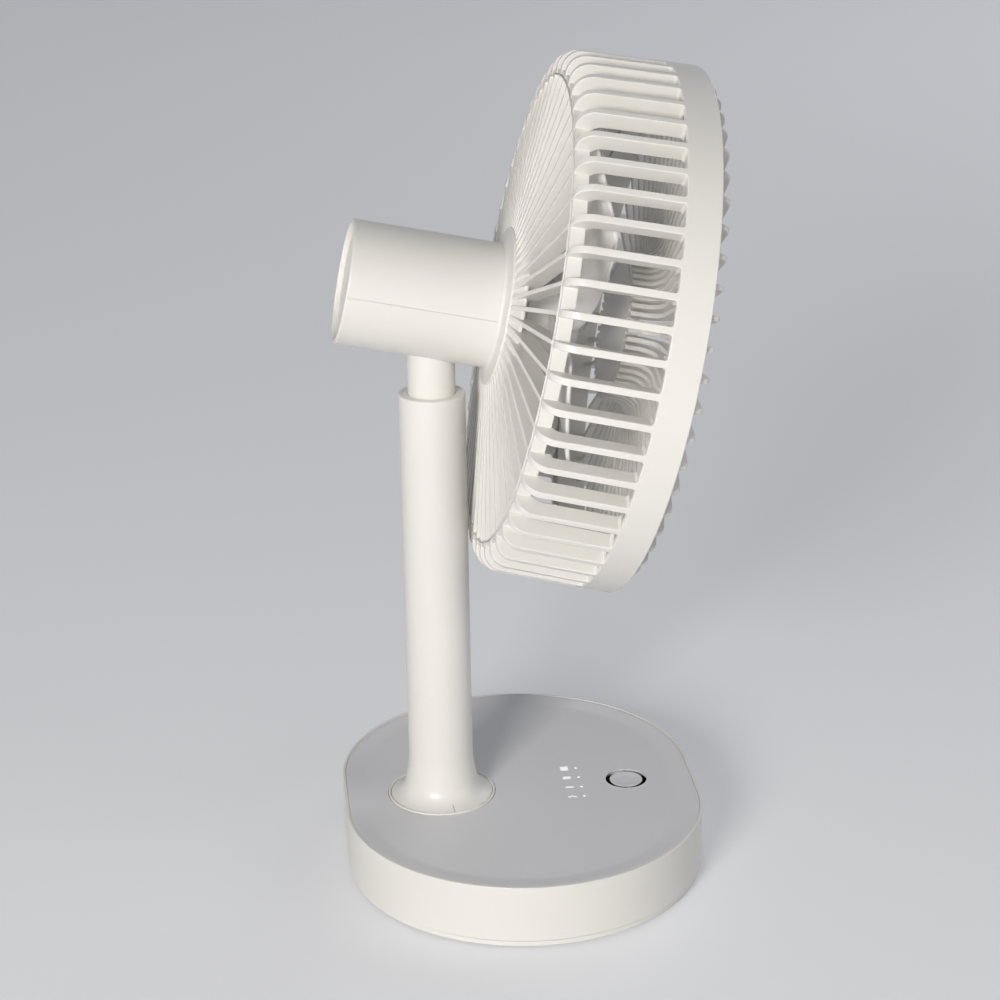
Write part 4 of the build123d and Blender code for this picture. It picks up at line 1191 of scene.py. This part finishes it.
class FAN_OT_front_guard(bpy.types.Operator):
    """Front guard: ring, ribs curving into a well, hub and its cap"""

    bl_idname = "fan.front_guard"
    bl_label = "Front guard"

    def execute(self, context):
        sizes = context.scene.fan.front_guard
        drum = context.scene.fan.rear_guard
        ring_inner = sizes.ring_radius - sizes.ring_wall
        floor = sizes.hub_rear + sizes.hub_wall
        hub_outer = sizes.well_radius + sizes.hub_over
        hub_inner = hub_outer - sizes.hub_rim
        ring = eased(
            (ring_inner, sizes.ring_rear, 0.4 * MM),
            (sizes.ring_radius, sizes.ring_rear, 0.4 * MM),
            (sizes.ring_radius, drum.drum_front, 0.4 * MM),
            (ring_inner, drum.drum_front, 0.4 * MM),
        )
        hub = eased(
            (0, sizes.hub_rear),
            (hub_outer, sizes.hub_rear, 0.6 * MM),
            (hub_outer, sizes.hub_front, 0.5 * MM),
            (hub_inner, sizes.hub_front, 0.5 * MM),
            (hub_inner, floor),
            (0, floor),
        )
        turned = lathe(hub).join(lathe(ring, 4 * sizes.ribs))
        guard = turned.piece("front_guard_moulding", HEAD)
        ribs = bar(self.stations(sizes, ring_inner), sizes.rounding).around(sizes.ribs, sizes.phase)
        combine(guard, ribs.piece("grille_ribs", HEAD), "UNION")
        dress(guard, "head", "warm_white_plastic", "front_guard")
        cap_top = floor + sizes.cap_height
        dish_floor = cap_top - sizes.cap_dish
        cap = eased(
            (0, floor),
            (sizes.cap_radius, floor),
            (sizes.cap_radius, cap_top, 0.5 * MM),
            (sizes.cap_radius - 3.0 * MM, cap_top, 2.5 * MM),
            (sizes.cap_radius - 9.0 * MM, dish_floor, 12.0 * MM),
            (0, dish_floor),
        )
        dress(lathe(cap).piece("front_cap_moulding", HEAD), "head", "warm_white_plastic", "front_cap")
        return {"FINISHED"}

    def stations(self, sizes, ring_inner):
        """Rib: up from the ring, over its rounded tip, across the front and down into the well."""
        tip = (sizes.ring_radius - sizes.shoulder, sizes.front - sizes.shoulder)
        mouth = (sizes.well_radius + sizes.well_rounding, sizes.front + 0.7 * MM - sizes.well_rounding)
        inner_tip = (ring_inner - 4.0 * MM, sizes.front - 10.2 * MM)
        inner_mouth = (sizes.well_radius + 13.0 * MM, sizes.hub_rear + 5.2 * MM)
        tip_bend, mouth_bend = 4.4 * MM, 7.0 * MM
        foot = sizes.hub_rear + 0.1 * MM
        start = sizes.ring_rear + 4.0 * MM
        outer = [Vector((sizes.ring_radius - 0.05 * MM, start))]
        outer += arc(tip, sizes.shoulder, 0, 90, 8) + arc(mouth, sizes.well_rounding, 90, 180, 14)
        outer.append(Vector((sizes.well_radius, foot)))
        inner = [Vector((ring_inner + 0.4 * MM, start))]
        inner += arc(inner_tip, tip_bend, 0, 90, 8) + arc(inner_mouth, mouth_bend, 90, 180, 14)
        inner.append(Vector((sizes.well_radius + 6.0 * MM, foot)))
        return [(far, near, sizes.width) for far, near in zip(outer, inner)]


class FAN_OT_impeller(bpy.types.Operator):
    """Impeller with twisted, bowed blades, and the nut that holds it"""

    bl_idname = "fan.impeller"
    bl_label = "Impeller"

    def execute(self, context):
        sizes = context.scene.fan.impeller
        bore = sizes.shaft_bore
        inside = sizes.hub_front - sizes.hub_wall
        hub_inner = sizes.hub_radius - sizes.hub_wall
        hub = eased(
            (bore, sizes.boss_rear),
            (sizes.boss_radius, sizes.boss_rear, 0.4 * MM),
            (sizes.boss_radius, inside, 1.0 * MM),
            (hub_inner, inside, 2.0 * MM),
            (hub_inner, sizes.hub_rear, 0.3 * MM),
            (sizes.hub_radius, sizes.hub_rear, 0.3 * MM),
            (sizes.hub_radius, sizes.hub_front, 3.0 * MM),
            (bore, sizes.hub_front),
        )
        impeller = lathe(hub).piece("impeller_moulding", HEAD)
        blades = self.blade(sizes).around(sizes.blades, sizes.phase)
        combine(impeller, blades.piece("blades", HEAD), "UNION")
        dress(impeller, "fan", "blade_plastic", "impeller")
        tip = sizes.hub_front + sizes.nut_length
        nut = eased(
            (0, sizes.hub_front + sizes.shaft_end),
            (bore, sizes.hub_front + sizes.shaft_end),
            (bore, sizes.hub_front),
            (sizes.nut_radius, sizes.hub_front, 0.3 * MM),
            (sizes.nut_radius, tip, 2.4 * MM),
            (0, tip),
        )
        dress(lathe(nut, 64).piece("impeller_nut_moulding", HEAD), "fan", "blade_plastic", "impeller_nut")
        return {"FINISHED"}

    def blade(self, sizes):
        """One blade as two faces that meet round its rim."""
        crowding, steps = 0.4, 26
        shares = self.shares(crowding, steps)
        front = []
        back = []
        for across in shares:
            for along in shares:
                spot, edge = self.plan(sizes, along, across)
                middle = self.rise(sizes, spot, across)
                short = 1 - min(1.0, edge / sizes.rim_rounding)
                half = sizes.thickness / 2 * math.sqrt(max(0.0, 1 - short ** 2))
                front.append(Vector((spot.x, spot.y, middle + half)))
                back.append(Vector((spot.x, spot.y, middle - half)))
        count = len(shares)
        faces = []
        for row in range(count - 1):
            for step in range(count - 1):
                here = row * count + step
                faces.append((here, here + 1, here + count + 1, here + count))
        other = len(front)
        faces += [tuple(other + index for index in reversed(face)) for face in faces]
        root = [row * count for row in range(count)]
        faces += [(near, far, other + far, other + near) for near, far in zip(root, root[1:])]
        return Shell().add(front + back, faces)

    def shares(self, crowding, steps):
        """Shares from zero to one, crowded towards both ends for the rounded rim."""
        swings = [math.cos(math.pi * step / steps) for step in range(steps + 1)]
        return [0.5 - 0.5 * math.copysign(abs(swing) ** crowding, swing) for swing in swings]

    def plan(self, sizes, along, across):
        """Place on the blade seen along the axis, and its distance from the rim."""
        root_radius = sizes.hub_radius - 0.8 * MM
        lead = sizes.root_lead + across * (sizes.root_trail - sizes.root_lead)
        root = Vector((math.cos(lead), math.sin(lead))) * root_radius
        lead = sizes.tip_lead + across * (sizes.tip_trail - sizes.tip_lead)
        chord = sizes.tip_radius * (sizes.tip_trail - sizes.tip_lead)
        near_edge = min(across, 1 - across) * chord
        short = max(0.0, sizes.corner - near_edge)
        drop = sizes.corner - math.sqrt(max(0.0, sizes.corner ** 2 - short ** 2))
        tip = Vector((math.cos(lead), math.sin(lead))) * (sizes.tip_radius - drop)
        bowed = Vector((0, 2 * along * (1 - along) * sizes.sweep * across))
        reach = (tip - root).length
        local_chord = near_edge * (0.6 + 0.4 * along)
        return root.lerp(tip, along) + bowed, min((1 - along) * reach, local_chord)

    def rise(self, sizes, spot, across):
        """Height of the blade's middle, pitched and bowed."""
        twist_start, twist_short = 14.0 * MM, 12.0 * MM
        share = (spot.x - twist_start) / (sizes.tip_radius - twist_short)
        root, tip = math.tan(sizes.root_pitch), math.tan(sizes.tip_pitch)
        pitch = root + (tip - root) * share
        return sizes.middle + spot.y * pitch - sizes.camber * (1 - (2 * across - 1) ** 2)


class FAN_OT_screws(bpy.types.Operator):
    """Pan-head screws with a cross recess, in place of each group of screws"""

    bl_idname = "fan.screws"
    bl_label = "Screws"

    def execute(self, context):
        ahead = HEAD @ Matrix.Rotation(math.pi, 4, "X")
        upward = HEAD @ Matrix.Rotation(-math.pi / 2, 4, "X")
        for group, body, turned in (
            ("base_screws", "base", Matrix()),
            ("board_screws", "base", Matrix()),
            ("column_clamp_screws", "base", Matrix()),
            ("housing_screws", "head", upward),
            ("grille_screw", "head", upward),
            ("guard_screws", "head", ahead),
            ("motor_screws", "head", ahead),
        ):
            self.group(group, body, turned.to_3x3().to_4x4())
        return {"FINISHED"}

    def group(self, group, body, turned):
        """Screws standing where the frame's group has them."""
        back = turned.inverted()
        spots = [back @ vertex.co for vertex in frame["nodes"][group].data.vertices]
        across, head_face = 6.0 * MM, 0.1 * MM
        clusters = []
        for spot in spots:
            plan = spot.xy
            near = next((item for item in clusters if (item[0].xy - plan).length < across), None)
            if near:
                near.append(spot)
            else:
                clusters.append([spot])
        shell = Shell()
        for cluster in clusters:
            low = min(spot.z for spot in cluster)
            high = max(spot.z for spot in cluster)
            heads = [spot for spot in cluster if spot.z < low + head_face]
            middle = sum((spot.xy for spot in heads), Vector((0, 0))) / len(heads)
            place = Matrix.Translation((middle.x, middle.y, low))
            shell.join(self.screw(high - low).copies([place]))
        dress(shell.piece(f"{group}_pan_head", turned), body, "steel", group)

    def screw(self, length):
        """Pan head with a star-shaped recess, on a shank with a tapered point."""
        radius, shank, height, point = 2.5 * MM, 1.2 * MM, 1.2 * MM, 1.2 * MM
        slim = shank / radius
        count = 48
        rows = []
        for reach, level, cross in (
            (0.35, 0.75 * MM, True),
            (1.0, 0.15 * MM, True),
            (1.12, 0.05 * MM, True),
            (0.72, 0.0, False),
            (0.9, 0.12 * MM, False),
            (1.0, 0.42 * MM, False),
            (1.0, height, False),
            (slim, height, False),
            (slim, length - point, False),
            (0.25 * slim, length, False),
        ):
            row = []
            for step in range(count):
                angle = math.tau * step / count
                star = 0.30 + 0.30 * abs(math.cos(2 * angle)) ** 6
                spread = radius * reach * (star if cross else 1.0)
                row.append(Vector((spread * math.cos(angle), spread * math.sin(angle), level)))
            rows.append(row)
        return Shell().skin(rows, capped=True)


class FAN_OT_carried_nodes(bpy.types.Operator):
    """Finishes for the nodes of the frame that stay as they are"""

    bl_idname = "fan.carried_nodes"
    bl_label = "Carried nodes"

    def execute(self, context):
        for node in frame["nodes"].values():
            for place in node.material_slots:
                slot = place.material.name.split(".")[0]
                if slot in SLOTS:
                    place.material = finish_of(slot)
        return {"FINISHED"}


class FAN_OT_stage(bpy.types.Operator):
    """Pale floor, soft lights and the camera"""

    bl_idname = "fan.stage"
    bl_label = "Stage"

    def execute(self, context):
        scene = context.scene
        scene.view_settings.view_transform = "Standard"
        self.floor(scene.fan.colours.floor)
        self.world(scene)
        for name, place, width, power, colour in (
            ("key_light", (-1.5, 0.75, 0.66), 0.5, 22.5, (1.0, 0.972, 0.93)),
            ("side_light", (-1.0, -1.7, 0.6), 1.0, 5.0, (1.0, 0.98, 0.96)),
            ("far_light", (2.0, -2.0, 1.6), 1.6, 14.0, (0.93, 0.96, 1.0)),
        ):
            self.lamp(name, Vector(place), width, power, colour)
        self.camera(scene)
        return {"FINISHED"}

    def floor(self, colour):
        """Wide floor with a faint satin."""
        finish = Finish("finish_floor")
        clouds = finish.noise(0.4, 2.0)
        base = finish.tint(clouds, colour, 0.98, 1.02)
        glow = 0.3
        pale = finish.mix(finish.seen(), toned(colour, 0.0), toned(colour, glow))
        finish.principled(
            base_color=base, roughness=0.6 + 0.06 * clouds, specular_ior_level=0.2, emission_color=pale,
            emission_strength=1.0)
        reach, under = 7.0, -0.02
        outline = [Vector((0, 0)), Vector((reach, 0)), Vector((reach, under)), Vector((0, under))]
        floor = lathe(outline, 96).piece("floor")
        floor.data.materials.append(finish.owner)

    def world(self, scene):
        """Even pale surroundings."""
        scene.world = bpy.data.worlds.new("surroundings")
        sky = Finish("surroundings", scene.world)
        ambient, pale = 0.16, 0.55
        strength = ambient + pale * sky.seen()
        colour = (0.93, 0.95, 1.0, 1.0)
        light = sky.node("ShaderNodeBackground", None, {"Color": colour, "Strength": strength})
        sky.node("ShaderNodeOutputWorld", None, {"Surface": light})

    def lamp(self, name, place, width, power, colour):
        """Square soft light that faces the fan's middle."""
        middle = Vector((0, 0, 0.19))
        light = bpy.data.lights.new(name, "AREA")
        light.shape = "SQUARE"
        light.size = width
        light.energy = power
        light.color = colour
        lamp = bpy.data.objects.new(name, light)
        facing = (middle - place).to_track_quat("-Z", "Y").to_matrix().to_4x4()
        lamp.matrix_world = Matrix.Translation(place) @ facing
        bpy.context.scene.collection.objects.link(lamp)

    def camera(self, scene):
        """Camera at the photograph's viewing angle."""
        view = scene.fan.stage
        data = bpy.data.cameras.new("camera")
        data.lens = view.lens
        data.clip_end = 20.0
        flat = math.cos(view.pitch)
        look = Vector((flat * math.cos(view.yaw), flat * math.sin(view.yaw), -math.sin(view.pitch)))
        level = look.cross(Vector((0, 0, 1))).normalized()
        upright = level.cross(look)
        right = level * math.cos(view.roll) + upright * math.sin(view.roll)
        up = upright * math.cos(view.roll) - level * math.sin(view.roll)
        camera = bpy.data.objects.new("camera", data)
        aimed = Matrix((right, up, -look)).transposed().to_4x4()
        camera.matrix_world = Matrix.Translation(view.place) @ aimed
        scene.collection.objects.link(camera)
        scene.camera = camera


class FAN_PT_panel(bpy.types.Panel):
    """Lists the fan's pieces"""

    bl_idname = "FAN_PT_panel"
    bl_label = "Pedestal fan"
    bl_space_type = "VIEW_3D"
    bl_region_type = "UI"
    bl_category = "Fan"

    def draw(self, context):
        for operator in OPERATORS:
            self.layout.operator(operator.bl_idname)


GROUPS = (
    BaseSizes, ColumnSizes, HousingSizes, RearGuardSizes, FrontGuardSizes, ImpellerSizes, Colours,
    StageSettings, FanSettings,
)
OPERATORS = (
    FAN_OT_base_shell, FAN_OT_deck, FAN_OT_button, FAN_OT_level_lights, FAN_OT_column, FAN_OT_housing,
    FAN_OT_rear_guard, FAN_OT_front_guard, FAN_OT_impeller, FAN_OT_screws, FAN_OT_carried_nodes,
    FAN_OT_stage,
)


def register():
    """Add the fan's settings, operators and panel."""
    for item in (*GROUPS, *OPERATORS, FAN_PT_panel):
        bpy.utils.register_class(item)
    bpy.types.Scene.fan = PointerProperty(type=FanSettings)


def unregister():
    """Take the fan's settings, operators and panel away."""
    del bpy.types.Scene.fan
    for item in reversed((*GROUPS, *OPERATORS, FAN_PT_panel)):
        bpy.utils.unregister_class(item)


def main():
    """Build every piece in order."""
    register()
    for operator in OPERATORS:
        family, name = operator.bl_idname.split(".")
        getattr(getattr(bpy.ops, family), name)()


if __name__ == "__main__":
    main()
